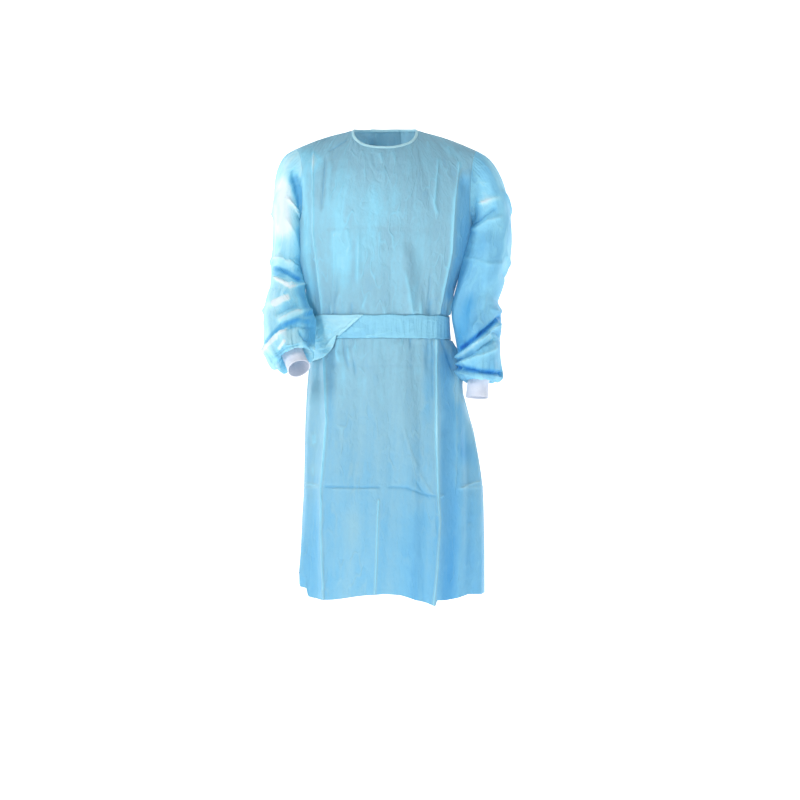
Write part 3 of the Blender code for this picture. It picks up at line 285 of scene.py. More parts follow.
def read_curve(columns, rows, name, places):
    """One named column of a table at places in its first column, on a smooth curve through its rows.

    The curve is made of cubics whose slope at each row is that of the line between its neighbours."""
    table = np.array(sorted(rows), dtype=float)
    at = table[:, 0]
    value = table[:, columns.index(name)]
    slope = np.gradient(value, at)
    places = np.clip(np.asarray(places, dtype=float), at[0], at[-1])
    i = np.clip(np.searchsorted(at, places, side="right") - 1, 0, len(at) - 2)
    span = at[i + 1] - at[i]
    t = (places - at[i]) / span
    return cubic(t, value[i], value[i + 1], slope[i] * span, slope[i + 1] * span)


def running_length(points, axis):
    """Metres from the first point along one axis of a grid."""
    steps = np.linalg.norm(np.diff(points, axis=axis), axis=-1)
    return np.insert(np.cumsum(steps, axis=axis), 0, 0.0, axis=axis)


def smooth_step(t):
    """0 below 0, 1 above 1, and an S-shaped rise between: 3 t squared less 2 t cubed."""
    t = np.clip(t, 0.0, 1.0)
    return t * t * (3.0 - 2.0 * t)


def unit(vectors):
    """Vectors divided by their own lengths."""
    return vectors / np.maximum(np.linalg.norm(vectors, axis=-1, keepdims=True), 1e-12)

# %% Rings of the body
def body_section(height):
    """All sizes of the body's oval at a height, by name."""
    names = BODY_COLUMNS[1:]
    return {name: read_curve(BODY_COLUMNS, BODY_SECTIONS, name, height) for name in names}


def body_ring(height, bearing):
    """Points of the body at a height: a squared oval whose four quarters have their own reach."""
    section = body_section(height)
    power = 2.0 / section["squareness"]
    east = np.cos(bearing)
    north = np.sin(bearing)
    reach = np.where(east > 0, section["left"], -section["right"])
    forward = section["widest_at"] - section["front"]
    depth = np.where(north < 0, forward, section["back"] - section["widest_at"])
    x = np.sign(east) * reach * np.abs(east) ** power
    y = section["widest_at"] + np.sign(north) * depth * np.abs(north) ** power
    return x, y


def back_bearing(height, across):
    """The bearing at which the back's ring reaches a distance from the middle; the front's is 360 less it."""
    section = body_section(height)
    reach = np.where(across > 0, section["left"], -section["right"])
    share = np.clip(np.abs(across) / reach, 0.0, 1.0) ** (section["squareness"] / 2.0)
    return np.arccos(np.sign(across) * share)


def front_bearings(height):
    """A bearing for each column of the front: the corner and middle creases have their own columns."""
    right, left = (float(read_curve(CORNER_TABLE_COLUMNS, CORNER_CREASES, side, height)) for side in SIDES)
    middle = MIDDLE_CREASE_HEM * smooth_step((BELT_LOW - height) / (BELT_LOW - HEM_HEIGHT)) - 1e-9
    columns = (0, CORNER_COLUMN, FRONT_COLUMNS // 2, FRONT_COLUMNS - CORNER_COLUMN, FRONT_COLUMNS)
    creases = [2.0 * math.pi - float(back_bearing(height, across)) for across in (right, middle, left)]
    return np.interp(np.arange(FRONT_COLUMNS + 1), columns, (math.pi, *creases, 2.0 * math.pi))


def lap_degrees(height):
    """How far each back passes the middle at a height, more at the hem than at the top."""
    share = smooth_step((height - HEM_HEIGHT) / (ARMPIT_HEIGHT - HEM_HEIGHT))
    return LAP_HEM_DEGREES + (LAP_TOP_DEGREES - LAP_HEM_DEGREES) * share


def back_bearings(side, height):
    """A bearing for each column of a back panel, from its side seam to past the middle of the back."""
    columns = (0, SHOULDER_COLUMNS, SHOULDER_COLUMNS + BACK_NECK_COLUMNS, BACK_COLUMNS)
    bearings = (0.0, BACK_NECK_BEARING, 90.0, 90.0 + float(lap_degrees(height)))
    bearing = np.interp(np.arange(BACK_COLUMNS + 1), columns, bearings)
    return np.radians(bearing if side == "left" else 180.0 - bearing[::-1])

# %% Shoulders and neckline
def armhole(side):
    """One armhole's sizes by name."""
    row = next(row for row in ARMHOLES if row[0] == side)
    return dict(zip(ARMHOLE_COLUMNS, row))


def shoulder_line(side, share):
    """Points of the shoulder seam, share 0 at its tip and 1 at the neck, crowned a little in the middle."""
    hole = armhole(side)
    x = HANDS[side] * (hole["tip_out"] + (NECK_HALF_WIDTH - hole["tip_out"]) * share)
    z = hole["tip_height"] + (NECK_SIDE_HEIGHT - hole["tip_height"]) * share
    z = z + SHOULDER_CROWN * np.sin(math.pi * share)
    return np.stack([x, np.zeros_like(x), z], axis=-1)


def shoulder_shares(side):
    """Shares of the shoulder's columns, with the corner crease's column where that crease ends."""
    hole = armhole(side)
    corner = abs(CORNER_TOP_RIGHT if side == "right" else CORNER_TOP_LEFT)
    at_corner = (hole["tip_out"] - corner) / (hole["tip_out"] - NECK_HALF_WIDTH)
    known = [0, CORNER_COLUMN, SHOULDER_COLUMNS]
    return np.interp(np.arange(SHOULDER_COLUMNS + 1), known, [0.0, at_corner, 1.0])


def neck_curve(turn, depth, drop):
    """Neckline points by turn, 0 at the left end and pi at the right, a squared half oval."""
    power = 2.0 / NECK_SQUARENESS
    x = NECK_HALF_WIDTH * np.sign(np.cos(turn)) * np.abs(np.cos(turn)) ** power
    lean = np.abs(np.sin(turn)) ** power
    return np.stack([x, depth * lean, NECK_SIDE_HEIGHT + drop * lean], axis=-1)


def front_top():
    """The front's top edge: right shoulder, neckline, left shoulder."""
    right, left = (shoulder_line(side, shoulder_shares(side)) for side in SIDES)
    turn = np.linspace(math.pi, 0.0, NECK_COLUMNS + 1)[1:-1]
    neck = neck_curve(turn, -NECK_FRONT_DEPTH, -NECK_FRONT_DROP)
    return np.concatenate([right, neck, left[::-1]])


def back_top(side):
    """A back's top edge: its shoulder and its part of the neckline, from side seam to lap."""
    shoulder = shoulder_line(side, shoulder_shares(side))
    bearing = np.degrees(back_bearings("left", ARMPIT_HEIGHT))[SHOULDER_COLUMNS + 1:]
    turn = np.radians((bearing - BACK_NECK_BEARING) * 90.0 / (90.0 - BACK_NECK_BEARING))
    if side == "left":
        return np.concatenate([shoulder, neck_curve(turn, NECK_BACK_DEPTH, NECK_BACK_RISE)])
    neck = neck_curve(math.pi - turn, NECK_BACK_DEPTH, NECK_BACK_RISE)
    return np.concatenate([neck[::-1], shoulder[::-1]])

# %% Rows of a panel
# Degrees of the arcs up to the top edge, in the middle of the front and of the back and at the sides
FRONT_ARC = 62.0
BACK_ARC = 52.0
SIDE_ARC = 90.0
# A column moves sideways partly on its arc, and otherwise with its height
ARC_SHARE = 0.6


def rise_to_top(foot, top, arc_degrees):
    """Rows from the armpit ring up to a panel's top edge, each column on an arc of so many degrees."""
    t = np.linspace(0.0, 1.0, UPPER_ROWS + 1)[1:, None]
    arc = np.radians(arc_degrees)[None, :]
    up = np.sin(arc * t) / np.sin(arc)
    over = (1.0 - np.cos(arc * t)) / (1.0 - np.cos(arc))
    x = foot[:, 0] + (top[:, 0] - foot[:, 0]) * (ARC_SHARE * over + (1.0 - ARC_SHARE) * up)
    y = foot[:, 1] + (top[:, 1] - foot[:, 1]) * over
    z = foot[:, 2] + (top[:, 2] - foot[:, 2]) * up
    return np.stack([x, y, z], axis=-1)


def open_armhole(rows, side, face, from_side):
    """Swells the side of a panel forwards or backwards round the armhole, less away from its edge."""
    hole = armhole(side)
    reach = CORNER_COLUMN if face == "front" else SHOULDER_COLUMNS
    share = np.linspace(0.0, 1.0, UPPER_ROWS + 1)[1:]
    swell = np.clip(np.sin(math.pi * share), 0.0, 1.0) ** ARMHOLE_ROUNDNESS
    near = np.clip(1.0 - from_side / reach, 0.0, 1.0)
    way = -1.0 if face == "front" else 1.0
    rows[:, :, 1] += way * hole[face + "_swell"] * swell[:, None] * near[None, :]
    rows[:, :, 0] -= HANDS[side] * hole[face + "_inward"] * swell[:, None] * near[None, :]


def lower_rows(bearings_at):
    """Rows from hem to armpit: the body's ring at each height, the hem drawn to its own level."""
    rows = []
    for height in ROW_HEIGHTS:
        bearing = bearings_at(height)
        x, y = body_ring(height, bearing)
        hem = read_curve(HEM_COLUMNS, HEM_LEVELS, "height", np.degrees(bearing))
        share = np.clip((BELT_LOW - height) / (BELT_LOW - HEM_HEIGHT), 0.0, 1.0) ** 3
        rows.append(np.stack([x, y, height + (hem - HEM_HEIGHT) * share], axis=-1))
    return np.array(rows)

# %% Folds of a panel
def grid_normals(points, closed=False):
    """Unit normals of a grid: the cross product of its column and row directions, right hand outwards."""
    if closed:
        across = np.roll(points, -1, axis=1) - np.roll(points, 1, axis=1)
    else:
        across = np.gradient(points, axis=1)
    along = np.gradient(points, axis=0)
    return unit(np.cross(across, along))


def press_folds(points, folds, hand=1.0):
    """Raises or sinks tent-shaped folds in a panel along its normals.

    A fold's line crosses each row where the row reaches its distance from the middle, and its height falls
    evenly to nothing at its width to either side, measured along the row."""
    normals = grid_normals(points)
    heights = points[:, :, 2].mean(axis=1)
    along = running_length(points, 1)
    lift = np.zeros(points.shape[:2])
    for row in folds:
        fold = dict(zip(FOLD_COLUMNS, row))
        length = fold["top"] - fold["foot"]
        for r, height in enumerate(heights):
            share = (fold["top"] - height) / length
            if share < 0.0 or share > 1.0:
                continue
            across = fold["top_across"] + (fold["foot_across"] - fold["top_across"]) * share
            centre = np.interp(hand * across, hand * points[r, :, 0], along[r])
            tent = np.clip(1.0 - np.abs(along[r] - centre) / fold["width"], 0.0, 1.0)
            ease = smooth_step(share * length / max(fold["ease_top"], 1e-6))
            ease = ease * smooth_step((1.0 - share) * length / max(fold["ease_foot"], 1e-6))
            if share * length < 1e-6 and fold["ease_top"] == 0.0:
                ease = 1.0
            lift[r] += fold["rise"] * ease * tent
    return points + normals * lift[:, :, None]


def press_corners(points):
    """Raises the front's two long corner creases, which run from hem to shoulder on their own columns."""
    normals = grid_normals(points)
    along = running_length(points, 1)
    lift = np.zeros(points.shape[:2])
    for side, column in (("right", CORNER_COLUMN), ("left", FRONT_COLUMNS - CORNER_COLUMN)):
        rise = read_curve(CORNER_TABLE_COLUMNS, CORNER_CREASES, side + "_rise", points[:, column, 2])
        upper = np.linspace(0.0, 1.0, UPPER_ROWS + 1)[1:]
        rise[LOWER_ROWS + 1:] = rise[LOWER_ROWS] + (CORNER_TOP_RISE - rise[LOWER_ROWS]) * upper
        rise[-1] = 0.0
        away = np.abs(along - along[:, column:column + 1])
        lift += rise[:, None] * np.clip(1.0 - away / CORNER_WIDTH, 0.0, 1.0) ** 1.3
    lift[:, 0] = 0.0
    lift[:, -1] = 0.0
    return points + normals * lift[:, :, None]

# %% Front and backs
def front_panel():
    """The front: rings up to the armpit, arcs up to the top edge, then its pressed folds."""
    lower = lower_rows(front_bearings)
    place = np.abs(np.arange(FRONT_COLUMNS + 1) - FRONT_COLUMNS / 2) / (FRONT_COLUMNS / 2)
    arc = FRONT_ARC + (SIDE_ARC - FRONT_ARC) * smooth_step(place * 1.3 - 0.3)
    upper = rise_to_top(lower[-1], front_top(), arc)
    column = np.arange(FRONT_COLUMNS + 1)
    open_armhole(upper, "right", "front", column)
    open_armhole(upper, "left", "front", FRONT_COLUMNS - column)
    points = press_corners(np.concatenate([lower, upper]))
    return press_folds(points, FRONT_FOLDS)


def back_panel(side):
    """A back: rings, arcs and folds like the front's; the left one is lifted where it laps."""
    lower = lower_rows(lambda height: back_bearings(side, height))
    column = np.arange(BACK_COLUMNS + 1)
    from_side = column if side == "left" else BACK_COLUMNS - column
    from_middle = np.abs(np.degrees(back_bearings(side, ARMPIT_HEIGHT)) - 90.0) / 90.0
    arc = BACK_ARC + (SIDE_ARC - BACK_ARC) * smooth_step(from_middle * 1.3)
    upper = rise_to_top(lower[-1], back_top(side), arc)
    open_armhole(upper, side, "back", from_side)
    hand = HANDS[side]
    folds = tuple((hand * row[0], row[1], hand * row[2], *row[3:]) for row in BACK_FOLDS)
    points = press_folds(np.concatenate([lower, upper]), folds, hand=-1.0)
    if side == "left":
        heights = np.concatenate([ROW_HEIGHTS, np.full(UPPER_ROWS, ARMPIT_HEIGHT)])
        bearing = np.degrees([back_bearings(side, height) for height in heights])
        start = 90.0 - lap_degrees(heights)[:, None] - LAP_EASE_DEGREES
        rise = LAP_RISE * smooth_step((bearing - start) / LAP_EASE_DEGREES)
        points = points + grid_normals(points) * rise[:, :, None]
    return points


def share_edges(front, backs):
    """Gives the panels that meet at a seam the same points there."""
    backs["right"][:LOWER_ROWS + 1, -1] = front[:LOWER_ROWS + 1, 0]
    backs["left"][:LOWER_ROWS + 1, 0] = front[:LOWER_ROWS + 1, -1]
    for column in range(SHOULDER_COLUMNS + 1):
        backs["right"][-1, BACK_COLUMNS - column] = front[-1, column]
        backs["left"][-1, column] = front[-1, FRONT_COLUMNS - column]


def armhole_loop(front, back, side, inset=0):
    """Points from the shoulder tip down the armhole's front edge to the armpit and up its back edge.

    With an inset, the points lie that many columns in from the edge."""
    front_column = inset if side == "right" else -1 - inset
    back_column = -1 - inset if side == "right" else inset
    down = front[LOWER_ROWS:, front_column][::-1]
    up = back[LOWER_ROWS:, back_column]
    return np.concatenate([down, up[1:-1]])


def halve_steps(loop):
    """A closed loop with a point added half way along each of its sides."""
    between = (loop + np.roll(loop, -1, axis=0)) / 2.0
    return np.stack([loop, between], axis=1).reshape(-1, 3)

# %% Sleeves of the form
def sleeve_sections(side, shares):
    """The sleeve table's sizes by name, at shares of its rows from 0 to 1."""
    table = SLEEVES[side]
    place = np.linspace(0.0, 1.0, len(table))
    rows = tuple((place[i], *row) for i, row in enumerate(table))
    columns = ("along", *SLEEVE_TABLE_COLUMNS)
    return {name: read_curve(columns, rows, name, shares) for name in SLEEVE_TABLE_COLUMNS}


def sleeve_frame(lean_fore, lean_out):
    """The sleeve's direction and its two cross directions, out and back, for given leans in degrees."""
    fore = math.radians(lean_fore)
    out = math.radians(lean_out)
    axis = np.array([math.sin(out), -math.sin(fore) * math.cos(out), -math.cos(fore) * math.cos(out)])
    back = np.array([0.0, 1.0, 0.0])
    back = unit(back - axis * back.dot(axis))
    return axis, np.cross(axis, back), back


def oval(centre, axes, turn, half_width, half_depth):
    """Points of an oval: centre + out * half_width * cos(turn) - back * half_depth * sin(turn)."""
    across = axes[1][None, :] * (half_width * np.cos(turn))[:, None]
    deep = axes[2][None, :] * (-half_depth * np.sin(turn))[:, None]
    return centre[None, :] + across + deep


def sleeve_rows(side, loop, inset_loop):
    """A sleeve, worked out on the +X side: a cap out of the armhole, sections down the arm and a curl.

    The curl swings by a half circle from the last section to the cuff's upper edge, inside it."""
    hand = np.array([HANDS[side], 1.0, 1.0])
    turn = np.arange(SLEEVE_COLUMNS) * 2.0 * math.pi / SLEEVE_COLUMNS
    sections = sleeve_sections(side, np.linspace(0.0, 1.0, SLEEVE_SECTION_ROWS + 1))
    rings = []
    for i in range(SLEEVE_SECTION_ROWS + 1):
        section = {name: float(values[i]) for name, values in sections.items()}
        axes = sleeve_frame(section["lean_fore"], section["lean_out"])
        centre = np.array([section["out"], -section["fore"], section["height"]])
        half_width, half_depth = section["half_width"], section["half_depth"]
        rings.append(oval(centre, axes, turn, half_width, half_depth))
    start = loop * hand
    reach = np.linalg.norm(rings[0] - start, axis=1)[:, None]
    onwards = unit(start - inset_loop * hand)
    weight = ONWARD_SHARE * smooth_step(2.0 * np.abs(np.cos(turn / 2.0)) ** 0.5 - 0.4)[:, None]
    leave = unit(onwards * weight + np.array(CAP_LEAVING)[None, :] * (1.0 - weight)) * reach * CAP_PULL
    arrive = unit(rings[1] - rings[0]) * reach * CAP_PULL
    cap = [cubic(t, start, rings[0], leave, arrive) for t in np.linspace(0.0, 1.0, CAP_ROWS + 1)[:-1]]
    top, direction = cuff_top(side)
    axes = sleeve_frame(*direction)
    end_width = CUFF_HALF_WIDTH + SEAM_GAP
    end_depth = CUFF_HALF_DEPTH + SEAM_GAP
    curl = []
    for i in range(1, CURL_ROWS + 1):
        swing = math.pi * i / CURL_ROWS
        share = (1.0 - math.cos(swing)) / 2.0
        width = half_width + (end_width - half_width) * share
        depth = half_depth + (end_depth - half_depth) * share
        middle = centre + (top - centre) * share + axes[0] * BLOUSE_DEPTH * math.sin(swing)
        curl.append(oval(middle, axes, turn, width, depth))
    return np.array(cap + rings + curl)


def cuff_top(side):
    """The middle of the cuff's upper edge, hidden just above the sleeve's lowest cloth, and its leans."""
    last = dict(zip(SLEEVE_TABLE_COLUMNS, SLEEVES[side][-1]))
    direction = (last["lean_fore"], last["lean_out"])
    axis = sleeve_frame(*direction)[0]
    centre = np.array([last["out"], -last["fore"], last["height"]])
    return centre + axis * (BLOUSE_DEPTH - SEAM_BACK_UP), direction


def fold_sleeve(points, side):
    """Raises folds that run slanting round the sleeve, and gathers: a cosine that grows down to the cuff."""
    normals = grid_normals(points, closed=True)
    count = SLEEVE_SECTION_ROWS
    turn = np.degrees(np.arange(SLEEVE_COLUMNS) * 2.0 * math.pi / SLEEVE_COLUMNS)
    lift = np.zeros(points.shape[:2])
    lengths = np.linalg.norm(np.diff(points, axis=0), axis=2).mean(axis=1)
    down = np.concatenate([[0.0], np.cumsum(lengths)])
    down = down - down[CAP_ROWS]
    total = down[CAP_ROWS + count]
    for row in SLEEVE_FOLDS[side]:
        fold = dict(zip(SLEEVE_FOLD_COLUMNS, row))
        share = (turn - fold["turn"]) / (fold["end_turn"] - fold["turn"])
        along = fold["along"] + (fold["end_along"] - fold["along"]) * share
        ease = np.sin(math.pi * np.clip(share, 0.0, 1.0))
        tent = np.clip(1.0 - np.abs(down[:, None] - along[None, :] * total) / fold["width"], 0.0, 1.0)
        lift += fold["rise"] * ease[None, :] * tent
    grow = smooth_step((down / total - GATHER_START) / (1.0 - GATHER_START))
    fade = 1.0 - smooth_step((np.arange(len(points)) - CAP_ROWS - count) / (CURL_ROWS - 1.0))
    waves = np.cos(np.radians(turn) * GATHERS) + 0.3 * np.cos(np.radians(turn) * 3.0)
    lift += GATHER_RISE * (grow * fade)[:, None] * waves[None, :]
    lift[0] = 0.0
    return points + normals * lift[:, :, None]

# %% Places on the panels
def on_column(panel, column, heights):
    """Points and normals of a panel at given heights on one column, between its rows in a straight line."""
    points = panel["seam_points"][:, column]
    normals = panel["normals"][:, column]
    place = np.stack([np.interp(heights, points[:, 2], points[:, k]) for k in range(3)], axis=-1)
    facing = np.stack([np.interp(heights, points[:, 2], normals[:, k]) for k in range(3)], axis=-1)
    return place, unit(facing)


def on_panel(panel, across, heights):
    """Points and normals of a panel at distances from the middle, one for each height given."""
    columns = panel["seam_points"].shape[1]
    found = [on_column(panel, column, heights) for column in range(columns)]
    places = np.array([place for place, facing in found])
    facings = np.array([facing for place, facing in found])
    if places[0, 0, 0] > places[-1, 0, 0]:
        places, facings = places[::-1], facings[::-1]
    x = places[:, :, 0]
    read = [[[np.interp(at, x[:, i], grid[:, i, k]) for k in range(3)] for i, at in enumerate(across)]
            for grid in (places, facings)]
    place, facing = np.array(read)
    return place, unit(facing)


def on_back(across, heights):
    """Points and normals of the back's overlapped middle, at a distance from the middle for each height."""
    points = []
    for shift in (0.0, 0.002):
        x, y = body_ring(heights, back_bearing(heights, across + shift))
        points.append(np.stack([x, y, heights], axis=-1))
    step = points[1] - points[0]
    normals = unit(np.stack([-step[:, 1], step[:, 0], np.zeros(len(heights))], axis=-1))
    return points[0] + normals * LAP_RISE, normals


def opened_heights(bearing):
    """Four heights from the low to the high edge of the belt's opened stretch at a bearing."""
    low = float(read_curve(OPENED_COLUMNS, OPENED_EDGES, "low", bearing))
    high = float(read_curve(OPENED_COLUMNS, OPENED_EDGES, "high", bearing))
    return np.linspace(low, high, 4)

# %% [markdown]
# ## Finer cloth
# A smooth curve is drawn through the grid's points in both directions. A subdivision modifier would do this
# too, but it draws the edges in, and then the seams would open.

# %% Finer cloth
def finer_along(points, places, closed=False):
    """Cubic curves through the first axis, read at places counted in its own steps.

    Each point leaves along the line between its two neighbours."""
    if closed:
        ring = np.concatenate([points[-1:], points, points[:2]])
        slope = (ring[2:] - ring[:-2]) / 2.0
        points = np.concatenate([points, points[:1]])
    else:
        slope = np.gradient(points, axis=0)
    cell = np.minimum(places.astype(int), len(points) - 2)
    t = (places - cell)[:, None, None]
    return cubic(t, points[cell], points[cell + 1], slope[cell], slope[cell + 1])


def places_along(count, steps, closed=False, dense=()):
    """Places at so many steps a cell, with times as many in the stretches (from, to, times)."""
    end = count if closed else count - 1
    ruler = np.linspace(0.0, end, end * 100 + 1)
    density = np.full(ruler.shape, float(steps))
    for start, stop, times in dense:
        density[(ruler >= start) & (ruler <= stop)] *= times
    run = np.concatenate([[0.0], np.cumsum((density[1:] + density[:-1]) / 2.0 / 100.0)])
    cells = int(round(run[-1]))
    places = np.interp(np.linspace(0.0, run[-1], cells + 1), run, ruler)
    return places[:-1] if closed else places


def finer(points, across, along, closed=False, dense_across=(), dense_along=()):
    """A grid with so many steps for each of its own, across and along."""
    fine = finer_along(points, places_along(points.shape[0], along, dense=dense_along))
    fine = fine.transpose(1, 0, 2)
    fine = finer_along(fine, places_along(points.shape[1], across, closed, dense_across), closed)
    return fine.transpose(1, 0, 2)

# %% Folds and ripples
def path_distance(across, up, path):
    """Distance of every point from a bent line, how far along the line its nearest place is, and its length.

    Each straight stretch is tried in turn, and the nearest one counts."""
    path = np.asarray(path, dtype=float)
    lengths = np.linalg.norm(np.diff(path, axis=0), axis=1)
    begun = np.concatenate([[0.0], np.cumsum(lengths)])
    nearest = np.full(across.shape, 1e9)
    place = np.zeros(across.shape)
    for (x0, z0), (x1, z1), length, start in zip(path[:-1], path[1:], lengths, begun):
        dx, dz = (x1 - x0) / length, (z1 - z0) / length
        s = np.clip((across - x0) * dx + (up - z0) * dz, 0.0, length)
        away = np.hypot(across - x0 - dx * s, up - z0 - dz * s)
        closer = away < nearest
        nearest = np.where(closer, away, nearest)
        place = np.where(closer, start + s, place)
    return nearest, place, begun[-1]


def fold_field(across, up, folds):
    """Sum of ridges (height above 0) and troughs (below 0) along bent lines.

    A fold's section is exp(-(distance / width) ** sharpness), so 1 is a pressed crease and 2 a soft roll. It
    rises from nothing over its first stretch and sinks over its last."""
    total = np.zeros(across.shape)
    for path, width, height, sharpness, begin, end in folds:
        away, place, length = path_distance(across, up, path)
        ease = np.ones(across.shape)
        if begin > 0.0:
            ease = ease * smooth_step(place / begin)
        if end > 0.0:
            ease = ease * smooth_step((length - place) / end)
        total += height * ease * np.exp(-(away / width) ** sharpness)
    return total


def ripples(across, up, pitch, height, seed, lean=0.0):
    """Uneven small waves that run up and down: four sines of near pitches, out of step by a fixed shift."""
    shift = np.random.default_rng(seed).uniform(0.0, 2.0 * math.pi, (4, 2))
    wave = np.zeros(across.shape)
    for k, scale in enumerate((1.0, 1.31, 0.77, 1.73)):
        sway = 0.6 * pitch * np.sin(up / (pitch * (5.0 + k)) + shift[k, 1])
        wave += np.sin(2.0 * math.pi * (across + lean * up + sway) / (pitch * scale) + shift[k, 0]) / scale
    return height * wave / 2.6


def facing_weight(normals, axis, sign):
    """1 where the cloth faces along an axis, falling to 0 where it turns away."""
    return smooth_step((normals[:, :, axis] * sign + 0.05) / 0.45)

# %% [markdown]
# ## Creases
# The gown was folded flat, so it has long pressed lines down both sides of the front and across it, and soft
# rolls where it hangs. Each row is one fold: a bent line of (distance from the middle, height) points, then
# its width, its height off the cloth, how sharp it is, and the lengths over which it begins and ends. Ridges
# are above 0 and troughs below. Listed lines were used in place of a cloth simulation, which would
# crumple at random and couldn't put the pressed lines where they are.

# %% Creases
PRESSED_LINES = (
    (((-0.172, -0.053), (-0.172, -0.259), (-0.151, -0.437), (-0.138, -0.707), (-0.151, -0.862),
      (-0.151, -0.968), (-0.144, -1.132)), 0.0026, 0.0034, 1.0, 0.02, 0.0),
    (((-0.186, -0.091), (-0.186, -0.259), (-0.165, -0.437), (-0.156, -0.707), (-0.167, -0.862),
      (-0.167, -0.968), (-0.163, -1.127)), 0.01, -0.0032, 2.0, 0.03, 0.0),
    (((0.181, -0.081), (0.167, -0.183), (0.16, -0.311), (0.129, -0.451), (0.122, -0.518),
      (0.123, -0.743), (0.127, -0.888), (0.131, -0.947), (0.124, -1.061), (0.115, -1.144)),
     0.0026, 0.0038, 1.0, 0.02, 0.0),
    (((0.196, -0.115), (0.184, -0.221), (0.174, -0.333), (0.155, -0.423)), 0.013, -0.005, 2.0, 0.03, 0.04),
    (((0.141, -0.684), (0.146, -0.888), (0.148, -0.947), (0.141, -1.061),
      (0.134, -1.134)), 0.011, -0.0036, 2.0, 0.04, 0.0),
    (((-0.013, -0.89), (-0.016, -0.935), (-0.019, -1.044), (-0.023, -1.12)), 0.0022, 0.0024, 1.0, 0.01, 0.0),
    (((-0.188, -0.86), (-0.152, -0.865)), 0.0022, 0.0034, 1.0, 0.01, 0.008),
    (((-0.147, -0.866), (-0.032, -0.865), (-0.001, -0.865)), 0.002, -0.0028, 1.0, 0.01, 0.02),
    (((-0.129, -0.871), (-0.032, -0.87), (-0.008, -0.87)), 0.0024, 0.0014, 1.2, 0.01, 0.02),
    (((-0.001, -0.864), (0.051, -0.866), (0.094, -0.883), (0.127, -0.888)), 0.002, -0.0028, 1.0, 0.02, 0.01),
    (((0.127, -0.888), (0.148, -0.883)), 0.0022, 0.003, 1.0, 0.01, 0.01),
    (((0.169, -0.873), (0.231, -0.852)), 0.0022, 0.0032, 1.0, 0.01, 0.0),
    (((-0.153, -0.254), (-0.03, -0.25), (0.06, -0.257), (0.16, -0.254)), 0.003, -0.0007, 1.0, 0.03, 0.03),
    (((-0.144, -0.575), (-0.03, -0.579), (0.108, -0.577)), 0.003, -0.0007, 1.0, 0.03, 0.03),
)
